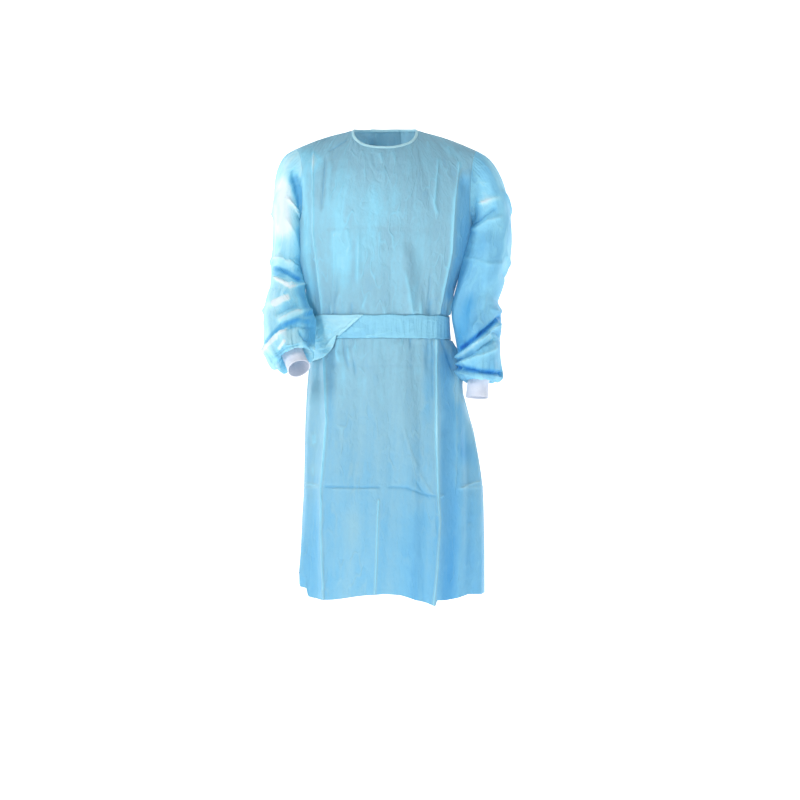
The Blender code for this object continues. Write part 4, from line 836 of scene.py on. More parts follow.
FRONT_ROLLS = (
    (((-0.141, -0.067), (-0.148, -0.15), (-0.151, -0.214)), 0.0034, -0.0026, 1.1, 0.02, 0.02),
    (((-0.129, -0.077), (-0.134, -0.162), (-0.137, -0.221)), 0.006, 0.0018, 2.0, 0.02, 0.04),
    (((0.129, -0.072), (0.118, -0.193), (0.127, -0.221)), 0.0034, 0.0032, 1.0, 0.02, 0.01),
    (((-0.061, -0.262), (-0.063, -0.323), (-0.065, -0.394)), 0.0032, 0.0026, 1.0, 0.02, 0.04),
    (((-0.072, -0.271), (-0.075, -0.333), (-0.077, -0.404)), 0.006, -0.0018, 2.0, 0.02, 0.04),
    (((-0.12, -0.252), (-0.12, -0.333), (-0.122, -0.375)), 0.004, 0.002, 1.3, 0.01, 0.04),
    (((-0.091, -0.252), (-0.082, -0.295), (-0.094, -0.318)), 0.004, 0.002, 1.3, 0.01, 0.02),
    (((0.044, -0.281), (0.056, -0.387), (0.067, -0.461)), 0.013, 0.0034, 2.0, 0.04, 0.01),
    (((0.047, -0.347), (0.057, -0.399), (0.067, -0.461)), 0.0034, 0.0028, 1.0, 0.02, 0.0),
    (((0.079, -0.269), (0.094, -0.387), (0.108, -0.456)), 0.015, -0.0028, 2.0, 0.05, 0.01),
    (((0.008, -0.304), (0.015, -0.399), (0.022, -0.458)), 0.012, -0.0022, 2.0, 0.05, 0.01),
    (((0.11, -0.352), (0.108, -0.404), (0.101, -0.456)), 0.0034, -0.0016, 1.1, 0.02, 0.0),
    (((-0.039, -0.401), (-0.056, -0.449)), 0.0032, 0.0024, 1.0, 0.02, 0.01),
    (((-0.106, -0.39), (-0.12, -0.456)), 0.007, 0.003, 1.6, 0.03, 0.01),
    (((-0.03, -0.067), (-0.023, -0.115)), 0.0036, -0.0018, 1.4, 0.004, 0.03),
    (((-0.011, -0.067), (-0.004, -0.105)), 0.0036, 0.0018, 1.4, 0.004, 0.02),
    (((0.018, -0.065), (0.032, -0.11)), 0.0046, 0.0016, 1.4, 0.004, 0.03),
    (((-0.054, -0.06), (-0.063, -0.105)), 0.0036, 0.0014, 1.4, 0.004, 0.02),
    (((-0.088, -0.027), (-0.115, -0.046), (-0.14, -0.062)), 0.0028, -0.0018, 1.1, 0.005, 0.01),
    (((0.103, -0.032), (0.11, -0.067)), 0.0036, 0.0012, 1.5, 0.004, 0.02),
    (((0.153, -0.043), (0.158, -0.081)), 0.0036, 0.0014, 1.5, 0.004, 0.02),
    (((0.115, -0.508), (0.114, -0.57), (0.115, -0.684)), 0.0046, -0.0028, 1.1, 0.0, 0.06),
    (((0.137, -0.508), (0.146, -0.553), (0.165, -0.608)), 0.0052, -0.005, 1.2, 0.0, 0.04),
    (((-0.108, -0.513), (-0.113, -0.546), (-0.103, -0.579)), 0.0034, 0.0028, 1.3, 0.0, 0.02),
    (((-0.099, -0.513), (-0.096, -0.546), (-0.082, -0.594)), 0.0034, -0.0028, 1.3, 0.0, 0.03),
    (((-0.087, -0.53), (-0.082, -0.57)), 0.003, 0.0022, 1.3, 0.01, 0.01),
    (((-0.068, -0.515), (-0.075, -0.577)), 0.004, 0.0018, 1.4, 0.0, 0.03),
    (((-0.077, -0.541), (-0.068, -0.608)), 0.0036, -0.0016, 1.4, 0.02, 0.02),
    (((-0.103, -0.53), (-0.113, -0.755), (-0.113, -0.945)), 0.016, 0.0034, 2.0, 0.03, 0.12),
    (((-0.058, -0.541), (-0.063, -0.731), (-0.068, -0.897)), 0.018, -0.003, 2.0, 0.04, 0.12),
    (((0.037, -0.518), (0.046, -0.731), (0.065, -0.945), (0.07, -1.13)), 0.018, 0.0026, 2.0, 0.01, 0.0),
    (((0.075, -0.518), (0.086, -0.731), (0.098, -0.945), (0.094, -1.141)), 0.013, -0.0022, 2.0, 0.01, 0.0),
    (((0.003, -0.53), (0.008, -0.731), (0.018, -0.897)), 0.015, -0.0018, 2.0, 0.03, 0.1),
    (((0.167, -0.594), (0.177, -0.731), (0.181, -0.897), (0.174, -1.134)), 0.013, 0.0046, 2.0, 0.02, 0.0),
    (((0.16, -0.546), (0.167, -0.66), (0.168, -0.779), (0.165, -0.878)), 0.0024, 0.0022, 1.0, 0.02, 0.02),
    (((0.046, -0.726), (0.06, -0.774), (0.077, -0.821)), 0.0026, 0.0018, 1.0, 0.01, 0.01),
    (((0.067, -0.84), (0.089, -0.873), (0.108, -0.892)), 0.0026, -0.0018, 1.0, 0.01, 0.0),
    (((0.079, -0.826), (0.101, -0.864), (0.115, -0.883)), 0.0026, 0.0018, 1.0, 0.01, 0.0),
    (((-0.186, -0.755), (-0.174, -0.769), (-0.165, -0.757)), 0.0024, 0.0016, 1.0, 0.005, 0.005),
    (((0.198, -0.719), (0.205, -0.897), (0.203, -1.13)), 0.011, -0.0042, 2.0, 0.05, 0.0),
    (((-0.129, -0.423), (-0.127, -0.454)), 0.0036, 0.002, 1.5, 0.02, 0.0),
    (((-0.077, -0.418), (-0.08, -0.456)), 0.0036, -0.002, 1.5, 0.02, 0.0),
    (((-0.001, -0.423), (0.001, -0.461)), 0.004, 0.0018, 1.5, 0.02, 0.0),
    (((0.084, -0.413), (0.089, -0.461)), 0.0036, 0.0024, 1.5, 0.03, 0.0),
    (((0.115, -0.404), (0.108, -0.458)), 0.0036, -0.0024, 1.5, 0.03, 0.0),
    (((0.039, -0.513), (0.041, -0.541)), 0.0036, 0.0018, 1.5, 0.0, 0.02),
    (((0.063, -0.513), (0.063, -0.546)), 0.0036, -0.0018, 1.5, 0.0, 0.02),
)
BACK_ROLLS = (
    (((0.176, -0.07), (0.15, -0.17), (0.148, -0.24)), 0.009, 0.0034, 1.8, 0.03, 0.05),
    (((-0.172, -0.07), (-0.148, -0.16), (-0.15, -0.23)), 0.008, 0.0038, 1.7, 0.03, 0.05),
    (((-0.15, -0.06), (-0.135, -0.2), (-0.132, -0.33), (-0.12, -0.455)), 0.005, 0.0032, 1.0, 0.02, 0.0),
    (((0.15, -0.06), (0.137, -0.2), (0.135, -0.33), (0.118, -0.455)), 0.005, 0.0032, 1.0, 0.02, 0.0),
    (((-0.118, -0.516), (-0.128, -0.7), (-0.134, -0.9), (-0.132, -1.14)), 0.005, 0.0032, 1.0, 0.0, 0.0),
    (((0.12, -0.516), (0.128, -0.7), (0.136, -0.9), (0.138, -1.14)), 0.005, 0.0034, 1.0, 0.0, 0.0),
    (((-0.2, -0.868), (-0.06, -0.872)), 0.0038, 0.0016, 1.0, 0.02, 0.01),
    (((-0.05, -0.87), (0.08, -0.866), (0.235, -0.874)), 0.0038, 0.0018, 1.0, 0.01, 0.02),
    (((-0.19, -0.24), (-0.04, -0.236), (0.19, -0.243)), 0.0038, 0.0014, 1.0, 0.03, 0.03),
    (((0.06, -0.3), (0.052, -0.38), (0.056, -0.456)), 0.009, 0.0044, 1.9, 0.06, 0.0),
    (((-0.07, -0.28), (-0.066, -0.37), (-0.074, -0.456)), 0.008, -0.004, 1.9, 0.06, 0.0),
    (((-0.098, -0.33), (-0.09, -0.4), (-0.094, -0.456)), 0.006, 0.004, 1.7, 0.05, 0.0),
    (((0.092, -0.35), (0.084, -0.41), (0.088, -0.456)), 0.005, -0.0036, 1.7, 0.04, 0.0),
    (((0.07, -0.516), (0.082, -0.64), (0.09, -0.8)), 0.01, -0.005, 2.0, 0.0, 0.15),
    (((-0.072, -0.516), (-0.08, -0.62), (-0.094, -0.76)), 0.009, -0.0048, 2.0, 0.0, 0.12),
    (((-0.09, -0.516), (-0.104, -0.6), (-0.11, -0.68)), 0.005, 0.0036, 1.6, 0.0, 0.06),
    (((0.092, -0.516), (0.098, -0.58), (0.104, -0.64)), 0.0044, 0.0036, 1.6, 0.0, 0.05),
    (((0.17, -0.7), (0.188, -0.9), (0.192, -1.13)), 0.012, 0.0046, 2.0, 0.08, 0.0),
    (((-0.16, -0.72), (-0.172, -0.9), (-0.176, -1.12)), 0.011, 0.0044, 2.0, 0.08, 0.0),
    (((0.1, -0.1), (0.08, -0.2), (0.078, -0.28)), 0.011, -0.003, 2.0, 0.05, 0.06),
    (((-0.104, -0.11), (-0.088, -0.22), (-0.082, -0.29)), 0.01, -0.0032, 2.0, 0.05, 0.06),
)
SIDE_ROLLS = (
    (((-0.01, -0.2), (-0.015, -0.28), (-0.01, -0.38)), 0.026, 0.0032, 2.0, 0.04, 0.06),
    (((-0.06, -0.59), (-0.058, -0.8), (-0.07, -1.14)), 0.012, 0.004, 2.0, 0.06, 0.0),
    (((0.05, -0.59), (0.056, -0.78), (0.07, -1.13)), 0.012, 0.0044, 2.0, 0.06, 0.0),
    (((-0.02, -0.56), (-0.01, -0.72), (-0.015, -0.94)), 0.011, -0.0036, 2.0, 0.04, 0.1),
    (((-0.04, -0.38), (-0.034, -0.456)), 0.006, 0.0036, 1.7, 0.03, 0.0),
    (((0.03, -0.36), (0.026, -0.456)), 0.006, -0.0036, 1.7, 0.04, 0.0),
    (((-0.11, -0.868), (0.11, -0.872)), 0.0038, 0.0016, 1.0, 0.01, 0.01),
)
LEFT_HIP_ROLL = (
    (((-0.02, -0.495), (-0.02, -0.56), (-0.02, -0.66)), 0.05, 0.012, 2.0, 0.06, 0.09),
)
SLEEVE_RIGHT_FRONT = (
    (((-0.237, -0.17), (-0.197, -0.218), (-0.207, -0.266)), 0.0037, 0.0052, 1.2, 0.01, 0.01),
    (((-0.225, -0.102), (-0.201, -0.191), (-0.189, -0.242)), 0.0072, -0.005, 1.8, 0.01, 0.01),
    (((-0.242, -0.215), (-0.223, -0.256), (-0.213, -0.328)), 0.006, 0.0036, 1.2, 0.02, 0.03),
    (((-0.281, -0.314), (-0.247, -0.319), (-0.209, -0.352)), 0.006, 0.0056, 1.0, 0.03, 0.02),
    (((-0.266, -0.338), (-0.233, -0.352), (-0.199, -0.374)), 0.004, -0.0066, 1.1, 0.01, 0.01),
    (((-0.269, -0.364), (-0.225, -0.391), (-0.189, -0.379)), 0.0056, 0.0066, 1.0, 0.01, 0.01),
    (((-0.225, -0.391), (-0.242, -0.42), (-0.276, -0.434)), 0.0066, 0.005, 1.0, 0.0, 0.01),
    (((-0.264, -0.458), (-0.233, -0.441), (-0.189, -0.429)), 0.006, -0.005, 1.2, 0.02, 0.02),
    (((-0.252, -0.477), (-0.209, -0.453), (-0.163, -0.446)), 0.005, 0.006, 1.0, 0.01, 0.01),
    (((-0.285, -0.528), (-0.242, -0.487), (-0.204, -0.477),
      (-0.165, -0.489)), 0.0044, -0.008, 1.1, 0.01, 0.02),
    (((-0.293, -0.552), (-0.257, -0.509), (-0.223, -0.489)), 0.006, 0.0078, 1.0, 0.01, 0.02),
    (((-0.271, -0.554), (-0.233, -0.525), (-0.197, -0.516)), 0.0048, -0.005, 1.1, 0.01, 0.01),
    (((-0.261, -0.573), (-0.223, -0.549), (-0.189, -0.533)), 0.005, 0.005, 1.0, 0.01, 0.01),
    (((-0.206, -0.487), (-0.182, -0.511), (-0.168, -0.545)), 0.004, -0.006, 1.1, 0.01, 0.01),
    (((-0.252, -0.559), (-0.242, -0.578)), 0.003, -0.003, 1.2, 0.01, 0.0),
)
SLEEVE_LEFT_FRONT = (
    (((0.215, -0.189), (0.254, -0.177), (0.285, -0.17)), 0.006, 0.0036, 1.0, 0.02, 0.03),
    (((0.213, -0.242), (0.242, -0.213), (0.271, -0.194)), 0.0038, -0.005, 1.1, 0.01, 0.01),
    (((0.218, -0.254), (0.249, -0.23), (0.288, -0.216)), 0.006, 0.0036, 1.1, 0.01, 0.02),
    (((0.191, -0.312), (0.249, -0.336), (0.3, -0.331)), 0.004, 0.0026, 1.0, 0.02, 0.03),
    (((0.254, -0.249), (0.247, -0.327), (0.24, -0.418)), 0.012, 0.0036, 1.5, 0.04, 0.05),
    (((0.211, -0.382), (0.196, -0.443), (0.189, -0.527)), 0.0081, -0.004, 1.5, 0.04, 0.01),
    (((0.244, -0.394), (0.235, -0.447), (0.206, -0.501)), 0.009, 0.0044, 1.1, 0.03, 0.02),
    (((0.174, -0.544), (0.23, -0.501), (0.283, -0.455)), 0.0036, -0.0086, 1.1, 0.0, 0.0),
    (((0.174, -0.559), (0.225, -0.517), (0.278, -0.472)), 0.007, 0.0084, 1.0, 0.0, 0.01),
    (((0.177, -0.566), (0.218, -0.542), (0.266, -0.51)), 0.0036, -0.007, 1.1, 0.0, 0.01),
    (((0.177, -0.573), (0.225, -0.556), (0.276, -0.532)), 0.0056, 0.006, 1.0, 0.0, 0.02),
    (((0.174, -0.58), (0.225, -0.59), (0.283, -0.595)), 0.0036, -0.0084, 1.1, 0.0, 0.0),
    (((0.177, -0.59), (0.23, -0.607), (0.283, -0.612)), 0.005, 0.005, 1.0, 0.0, 0.01),
    (((0.177, -0.602), (0.196, -0.626)), 0.003, -0.004, 1.1, 0.0, 0.0),
)
SLEEVE_RIGHT_BACK = (
    (((-0.285, -0.3), (-0.262, -0.322), (-0.232, -0.33)), 0.0047, 0.005, 1.4, 0.01, 0.01),
    (((-0.282, -0.345), (-0.258, -0.352), (-0.226, -0.346)), 0.0039, -0.006, 1.4, 0.01, 0.01),
    (((-0.28, -0.385), (-0.25, -0.374), (-0.222, -0.384)), 0.0047, 0.0052, 1.4, 0.01, 0.01),
    (((-0.262, -0.15), (-0.246, -0.22), (-0.24, -0.29)), 0.009, 0.004, 1.9, 0.03, 0.03),
    (((-0.222, -0.1), (-0.232, -0.16), (-0.226, -0.23)), 0.0072, -0.0044, 1.8, 0.02, 0.03),
)
SLEEVE_LEFT_BACK = (
    (((0.285, -0.32), (0.258, -0.345), (0.226, -0.35)), 0.0047, 0.005, 1.4, 0.01, 0.01),
    (((0.276, -0.38), (0.248, -0.376), (0.214, -0.388)), 0.0039, -0.0056, 1.4, 0.01, 0.01),
    (((0.272, -0.43), (0.25, -0.412), (0.212, -0.416)), 0.0047, 0.0048, 1.4, 0.01, 0.01),
    (((0.262, -0.15), (0.27, -0.23), (0.256, -0.3)), 0.009, 0.004, 1.9, 0.03, 0.03),
    (((0.23, -0.11), (0.24, -0.18), (0.232, -0.24)), 0.0072, -0.0044, 1.8, 0.02, 0.03),
    (((0.27, -0.5), (0.238, -0.52), (0.206, -0.512)), 0.0047, 0.005, 1.4, 0.01, 0.01),
    (((0.266, -0.56), (0.24, -0.548), (0.21, -0.56)), 0.0039, -0.005, 1.4, 0.01, 0.01),
)
SLEEVE_RIGHT_INNER = (
    (((-0.01, -0.21), (-0.02, -0.3), (-0.04, -0.4)), 0.03, 0.005, 2.0, 0.03, 0.05),
)
SLEEVE_LEFT_INNER = (
    (((-0.005, -0.215), (-0.02, -0.28), (-0.04, -0.4), (-0.055, -0.52)), 0.034, 0.008, 2.0, 0.03, 0.08),
)
SLEEVE_OUTER = (
    (((-0.04, -0.15), (0.0, -0.2), (0.036, -0.21)), 0.007, 0.0036, 1.6, 0.02, 0.02),
    (((-0.06, -0.3), (-0.01, -0.33), (0.04, -0.31)), 0.007, 0.0026, 1.4, 0.03, 0.03),
    (((-0.07, -0.35), (-0.02, -0.366), (0.03, -0.35)), 0.006, -0.003, 1.4, 0.03, 0.03),
    (((-0.09, -0.44), (-0.05, -0.452), (-0.01, -0.432)), 0.007, 0.003, 1.4, 0.02, 0.03),
    (((-0.12, -0.5), (-0.08, -0.496), (-0.03, -0.52)), 0.005, -0.005, 1.4, 0.01, 0.02),
)

# %% [markdown]
# ## Painted light and shade
# One layer is pale, and doubled or hanging cloth is a deeper blue, because the cloth lets light through. The
# paler patches are painted highlights, on creases, facets and the sleeves' rims, and deeper ones also paint
# shade into folds and recesses. Each row is a patch laid on the same way as a fold: its line, its width, how
# deep it is (below 0 for paler). A painted picture could do the same, but these can be changed one by one.

# %% Shades
# Painted light and shade on the front: rows below 0 are painted highlights along the pressed lines and on the
# chest, rows above 0 deepen the blue where the cloth is doubled at the sides and paint shade in its folds
FRONT_HIGHLIGHTS_AND_SHADE = (
    (((0.188, -0.091), (0.191, -0.183), (0.188, -0.311), (0.155, -0.435)), 0.019, 0.56, 3.0, 0.05, 0.03),
    (((0.139, -0.53), (0.148, -0.707), (0.155, -0.897), (0.15, -1.13)), 0.022, 0.42, 2.5, 0.03, 0.0),
    (((0.198, -0.731), (0.212, -0.897), (0.212, -1.13)), 0.024, 0.16, 2.5, 0.06, 0.0),
    (((0.169, -0.648), (0.184, -0.731), (0.193, -0.826)), 0.02, 0.3, 2.0, 0.04, 0.04),
    (((0.101, -0.518), (0.101, -0.613), (0.103, -0.731)), 0.011, 0.18, 2.0, 0.0, 0.06),
    (((0.123, -0.518), (0.123, -0.743), (0.127, -0.888), (0.131, -0.947), (0.124, -1.061),
      (0.115, -1.144)), 0.0034, -0.26, 2.0, 0.0, 0.0),
    (((-0.172, -0.053), (-0.172, -0.259), (-0.151, -0.437)), 0.005, -0.14, 2.0, 0.02, 0.0),
    (((-0.144, -0.541), (-0.138, -0.707), (-0.151, -0.862), (-0.151, -0.968),
      (-0.144, -1.132)), 0.0034, -0.24, 2.0, 0.06, 0.0),
    (((0.181, -0.081), (0.167, -0.183), (0.16, -0.311), (0.129, -0.451)), 0.005, -0.15, 2.0, 0.02, 0.0),
    (((-0.02, -0.103), (-0.03, -0.209), (-0.082, -0.399)), 0.07, -0.14, 2.0, 0.1, 0.1),
    (((-0.106, -0.091), (-0.11, -0.257), (-0.094, -0.423)), 0.035, -0.16, 2.0, 0.05, 0.05),
    (((-0.196, -0.103), (-0.191, -0.198), (-0.186, -0.333), (-0.172, -0.423)), 0.013, -0.22, 2.0, 0.03, 0.05),
    (((-0.134, -0.518), (-0.134, -0.66), (-0.125, -0.755)), 0.016, 0.12, 2.0, 0.01, 0.08),
    (((-0.177, -0.878), (-0.182, -1.111)), 0.026, 0.08, 2.5, 0.05, 0.0),
    (((-0.17, -0.736), (-0.17, -0.769)), 0.007, -0.24, 2.0, 0.01, 0.01),
    (((-0.174, -0.807), (-0.172, -0.845)), 0.008, -0.2, 2.0, 0.02, 0.01),
    (((-0.013, -0.89), (-0.016, -0.935), (-0.019, -1.044), (-0.023, -1.12)), 0.0034, -0.36, 2.0, 0.01, 0.0),
    (((-0.082, -0.897), (-0.082, -1.115)), 0.036, -0.14, 2.0, 0.05, 0.0),
    (((0.072, -0.897), (0.075, -1.13)), 0.026, 0.18, 2.0, 0.05, 0.0),
    (((-0.127, -0.423), (-0.127, -0.451)), 0.022, 0.2, 2.0, 0.05, 0.0),
    (((-0.193, -0.072), (-0.172, -0.091), (-0.148, -0.067)), 0.022, -0.26, 2.0, 0.0, 0.02),
    (((0.134, -0.399), (0.131, -0.456)), 0.016, 0.35, 2.0, 0.05, 0.0),
)
# Painted light and shade on the right sleeve: rows below 0 are painted highlights on its facets and rims,
# rows above 0 painted shade in its folds and where it meets the body
SLEEVE_RIGHT_HIGHLIGHTS_AND_SHADE = (
    (((-0.223, -0.112), (-0.199, -0.191), (-0.189, -0.247)), 0.013, 0.72, 4.0, 0.02, 0.02),
    (((-0.204, -0.232), (-0.206, -0.328), (-0.199, -0.42)), 0.012, 0.4, 2.0, 0.02, 0.02),
    (((-0.276, -0.338), (-0.237, -0.352), (-0.201, -0.374)), 0.006, 0.62, 4.0, 0.01, 0.01),
    (((-0.189, -0.396), (-0.17, -0.463), (-0.165, -0.54)), 0.018, 0.7, 4.0, 0.02, 0.02),
    (((-0.283, -0.53), (-0.242, -0.487), (-0.204, -0.473), (-0.17, -0.477)), 0.0066, 0.7, 4.0, 0.01, 0.02),
    (((-0.293, -0.552), (-0.257, -0.509), (-0.223, -0.489)), 0.0026, -0.6, 2.0, 0.01, 0.01),
    (((-0.269, -0.364), (-0.225, -0.391), (-0.189, -0.379)), 0.0026, -0.5, 2.0, 0.01, 0.01),
    (((-0.252, -0.569), (-0.213, -0.554)), 0.015, 0.4, 2.0, 0.01, 0.01),
    (((-0.261, -0.429), (-0.221, -0.412)), 0.0085, -0.6, 5.0, 0.0, 0.01),
    (((-0.271, -0.352), (-0.233, -0.364)), 0.006, 0.3, 5.0, 0.0, 0.01),
    (((-0.24, -0.485), (-0.16, -0.446)), 0.006, 0.4, 4.0, 0.01, 0.0),
    (((-0.276, -0.53), (-0.254, -0.513)), 0.006, -0.6, 5.0, 0.0, 0.0),
    (((-0.245, -0.54), (-0.233, -0.523)), 0.004, -0.5, 5.0, 0.0, 0.0),
    (((-0.295, -0.473), (-0.281, -0.42)), 0.01, -0.2, 3.0, 0.01, 0.01),
    (((-0.237, -0.107), (-0.247, -0.215), (-0.257, -0.287)), 0.026, -0.45, 2.0, 0.04, 0.04),
)
# Painted light and shade on the left sleeve: rows below 0 are painted highlights, rows above 0 painted shade
# in its folds
SLEEVE_LEFT_HIGHLIGHTS_AND_SHADE = (
    (((0.206, -0.394), (0.189, -0.467), (0.182, -0.539)), 0.018, 0.45, 2.0, 0.05, 0.01),
    (((0.174, -0.544), (0.23, -0.501), (0.283, -0.455)), 0.006, 0.9, 2.5, 0.0, 0.0),
    (((0.174, -0.58), (0.225, -0.59), (0.283, -0.595)), 0.006, 0.7, 2.5, 0.0, 0.0),
    (((0.174, -0.559), (0.225, -0.517), (0.278, -0.472)), 0.005, -0.4, 2.0, 0.0, 0.01),
    (((0.206, -0.544), (0.264, -0.51)), 0.014, -0.3, 2.0, 0.01, 0.01),
    (((0.276, -0.418), (0.278, -0.515), (0.273, -0.612)), 0.01, 0.2, 2.0, 0.02, 0.02),
    (((0.23, -0.104), (0.244, -0.177), (0.259, -0.298)), 0.024, -0.2, 2.0, 0.04, 0.06),
    (((0.22, -0.187), (0.254, -0.177), (0.285, -0.17)), 0.008, -0.24, 2.5, 0.01, 0.01),
)

# %% [markdown]
# ## Body and sleeves
# Every point moves along the cloth's own normal by the folds that face it: the tables for the front count
# where the cloth faces forward, those for the back where it faces back. A band near each seam stays still, so
# that two panels keep one edge.

# %% Cloth as a mesh
# How wide a band along each seam stays still
SEAM_BAND = 0.01


def cloth_lengths(points):
    """Metres across and along the cloth at each point, measured on it, for the cloth's own UV."""
    across = running_length(points, 1)
    across = across - across.mean(axis=1, keepdims=True)
    along = np.linalg.norm(np.diff(points, axis=0), axis=2).mean(axis=1)
    along = np.concatenate([[0.0], np.cumsum(along)])
    return across, np.repeat(along[:, None], points.shape[1], axis=1)


def grid_object(name, points, shade=None, closed=False, flip=False):
    """A sheet from a grid of points, with its UV in metres of cloth and its shade as an attribute."""
    rows, columns = points.shape[:2]
    across, along = cloth_lengths(points)
    index = np.arange(rows * columns).reshape(rows, columns)
    if closed:
        index = np.concatenate([index, index[:, :1]], axis=1)
        last = across[:, -1:] + np.linalg.norm(points[:, :1] - points[:, -1:], axis=2)
        across = np.concatenate([across, last], axis=1)
        along = np.concatenate([along, along[:, :1]], axis=1)
    corners = ((slice(None, -1), slice(None, -1)), (slice(None, -1), slice(1, None)),
               (slice(1, None), slice(1, None)), (slice(1, None), slice(None, -1)))
    if flip:
        corners = corners[::-1]
    quads = np.stack([index[c].ravel() for c in corners], axis=1)
    uv = np.stack([np.stack([across[c].ravel(), along[c].ravel()], axis=1) for c in corners], axis=1)
    mesh = bpy.data.meshes.new(name)
    mesh.vertices.add(rows * columns)
    mesh.vertices.foreach_set("co", points.reshape(-1).astype(np.float32))
    mesh.loops.add(quads.size)
    mesh.loops.foreach_set("vertex_index", quads.reshape(-1).astype(np.int32))
    mesh.polygons.add(len(quads))
    mesh.polygons.foreach_set("loop_start", np.arange(0, quads.size, 4, dtype=np.int32))
    mesh.update(calc_edges=True)
    mesh.uv_layers.new(name="cloth").data.foreach_set("uv", uv.reshape(-1).astype(np.float32))
    layer = mesh.attributes.new("shade", "FLOAT", "POINT")
    shade = np.zeros((rows, columns)) if shade is None else shade
    layer.data.foreach_set("value", shade.reshape(-1).astype(np.float32))
    mesh.shade_smooth()
    mesh.validate()
    item = bpy.data.objects.new(name, mesh)
    bpy.context.collection.objects.link(item)
    print(name, len(quads) * 2, "triangles")
    return item


def seam_still(points, sides, ends, closed=False):
    """0 on the seams named and 1 from SEAM_BAND away: sides are the first and last column, ends the rows."""
    across, along = cloth_lengths(points)
    still = np.ones(points.shape[:2])
    if not closed:
        if sides[0]:
            still *= smooth_step((across - across[:, :1]) / SEAM_BAND)
        if sides[1]:
            still *= smooth_step((across[:, -1:] - across) / SEAM_BAND)
    if ends[0]:
        still *= smooth_step(along / SEAM_BAND)
    if ends[1]:
        still *= smooth_step((along[-1:] - along) / SEAM_BAND)
    return still

# %% Pressing
# Folds narrower than this are creases, and get a painted highlight on their ridges and painted shade in their
# troughs
CREASE_WIDTH = 0.0065


def press(points, normals, tables):
    """Height of all folds at each point: each table lies in the plane across the axis that it faces."""
    total = np.zeros(points.shape[:2])
    for axis, sign, folds in tables:
        across = points[:, :, 1] if axis == 0 else points[:, :, 0]
        total += fold_field(across, points[:, :, 2], folds) * facing_weight(normals, axis, sign)
    return total


def narrow(tables):
    """The creases of some tables without their broad rolls, which alone get painted highlights and painted
    shade.
    """
    return [(axis, sign, [fold for fold in folds if fold[1] < CREASE_WIDTH]) for axis, sign, folds in tables]

# %% Hem
# Only the cloth just over the hem moves with it
HEM_REACH = 0.065
HEM_EASE = 0.055
# Each step of the front is (distance from the middle, rise), and the back rises to the side in one slope
HEM_STEPS = ((-0.198, 0.023), (-0.183, 0.019))
HEM_STEP_WIDTH = 0.003
HEM_BACK_RISE = 0.042
HEM_BACK_START = -0.110
HEM_BACK_WIDTH = 0.060
# The front's left corner: (distance from the middle, rise)
HEM_CORNER = (
    (0.0, 0.0), (0.037, -0.005), (0.072, -0.015), (0.119, -0.015), (0.127, 0.001), (0.136, 0.004),
    (0.155, 0.011), (0.180, 0.014), (0.203, 0.013), (0.238, 0.005), (0.245, 0.0),
)


def step_hem(points):
    """Steps the hem up at the right side, where the folded cloth was cut, and points its left corner."""
    low = smooth_step((HEM_HEIGHT + HEM_REACH - points[:, :, 2]) / HEM_EASE)
    rise = np.zeros(points.shape[:2])
    for edge, height in HEM_STEPS:
        rise += height * smooth_step((edge - points[:, :, 0]) / HEM_STEP_WIDTH)
    behind = HEM_BACK_RISE * smooth_step((HEM_BACK_START - points[:, :, 0]) / HEM_BACK_WIDTH)
    corner_at, corner_rise = np.array(HEM_CORNER).T
    rise += np.interp(points[:, :, 0], corner_at, corner_rise)
    rise = np.where(points[:, :, 1] > 0.0, behind, rise)
    points[:, :, 2] += rise * low

# %% Body panels
# How strongly the tables' folds are pressed in
FOLD_SCALE = 1.5
# Ripples over all the cloth, and paler and deeper clouds: (pitch, size)
BODY_RIPPLES = ((0.031, 0.0003), (0.013, 0.00008))
BODY_CLOUDS = ((0.06, 0.05), (0.017, 0.02))
BELT_GATHERS = {"above": 0.045, "below": 0.060, "pitch": 0.022, "height": 0.0011}
SHOULDER_GATHERS = {"middle": -0.150, "spread": 0.042, "reach": 0.030, "pitch": 0.0095, "height": 0.0027}
# Under the belt no fold stands up, and troughs are shallow
BELT_MARGIN = 0.002
UNDER_BELT_SHARE = 0.3
# How much a crease is painted paler on its ridge (painted highlight) or deeper in its trough (painted shade)
# for each metre of its height, up to a limit, and how much painted shade deepens the skirt towards the hem
CREASE_PAINTED_LIGHT = 60.0
BODY_CREASE_LIMIT = 0.006
SKIRT_PAINTED_SHADE = 0.34


def near_belt(heights):
    """1 at the belt's two edges, sinking to nothing away from it, quicker above than below."""
    above = np.exp(-np.maximum(heights - BELT_HIGH, 0.0) / BELT_GATHERS["above"]) * (heights > BELT_HIGH)
    return above + np.exp(-np.maximum(BELT_LOW - heights, 0.0) / BELT_GATHERS["below"]) * (heights < BELT_LOW)


def shoulder_gathers(points, across, along, seed):
    """Short pleats under the right shoulder seam: ripples times a bell across and a decay down from it."""
    bell = np.exp(-((points[:, :, 0] - SHOULDER_GATHERS["middle"]) / SHOULDER_GATHERS["spread"]) ** 2)
    bell *= np.exp(-(along[-1:] - along) / SHOULDER_GATHERS["reach"])
    return bell * ripples(across, along, SHOULDER_GATHERS["pitch"], SHOULDER_GATHERS["height"], seed, 0.10)


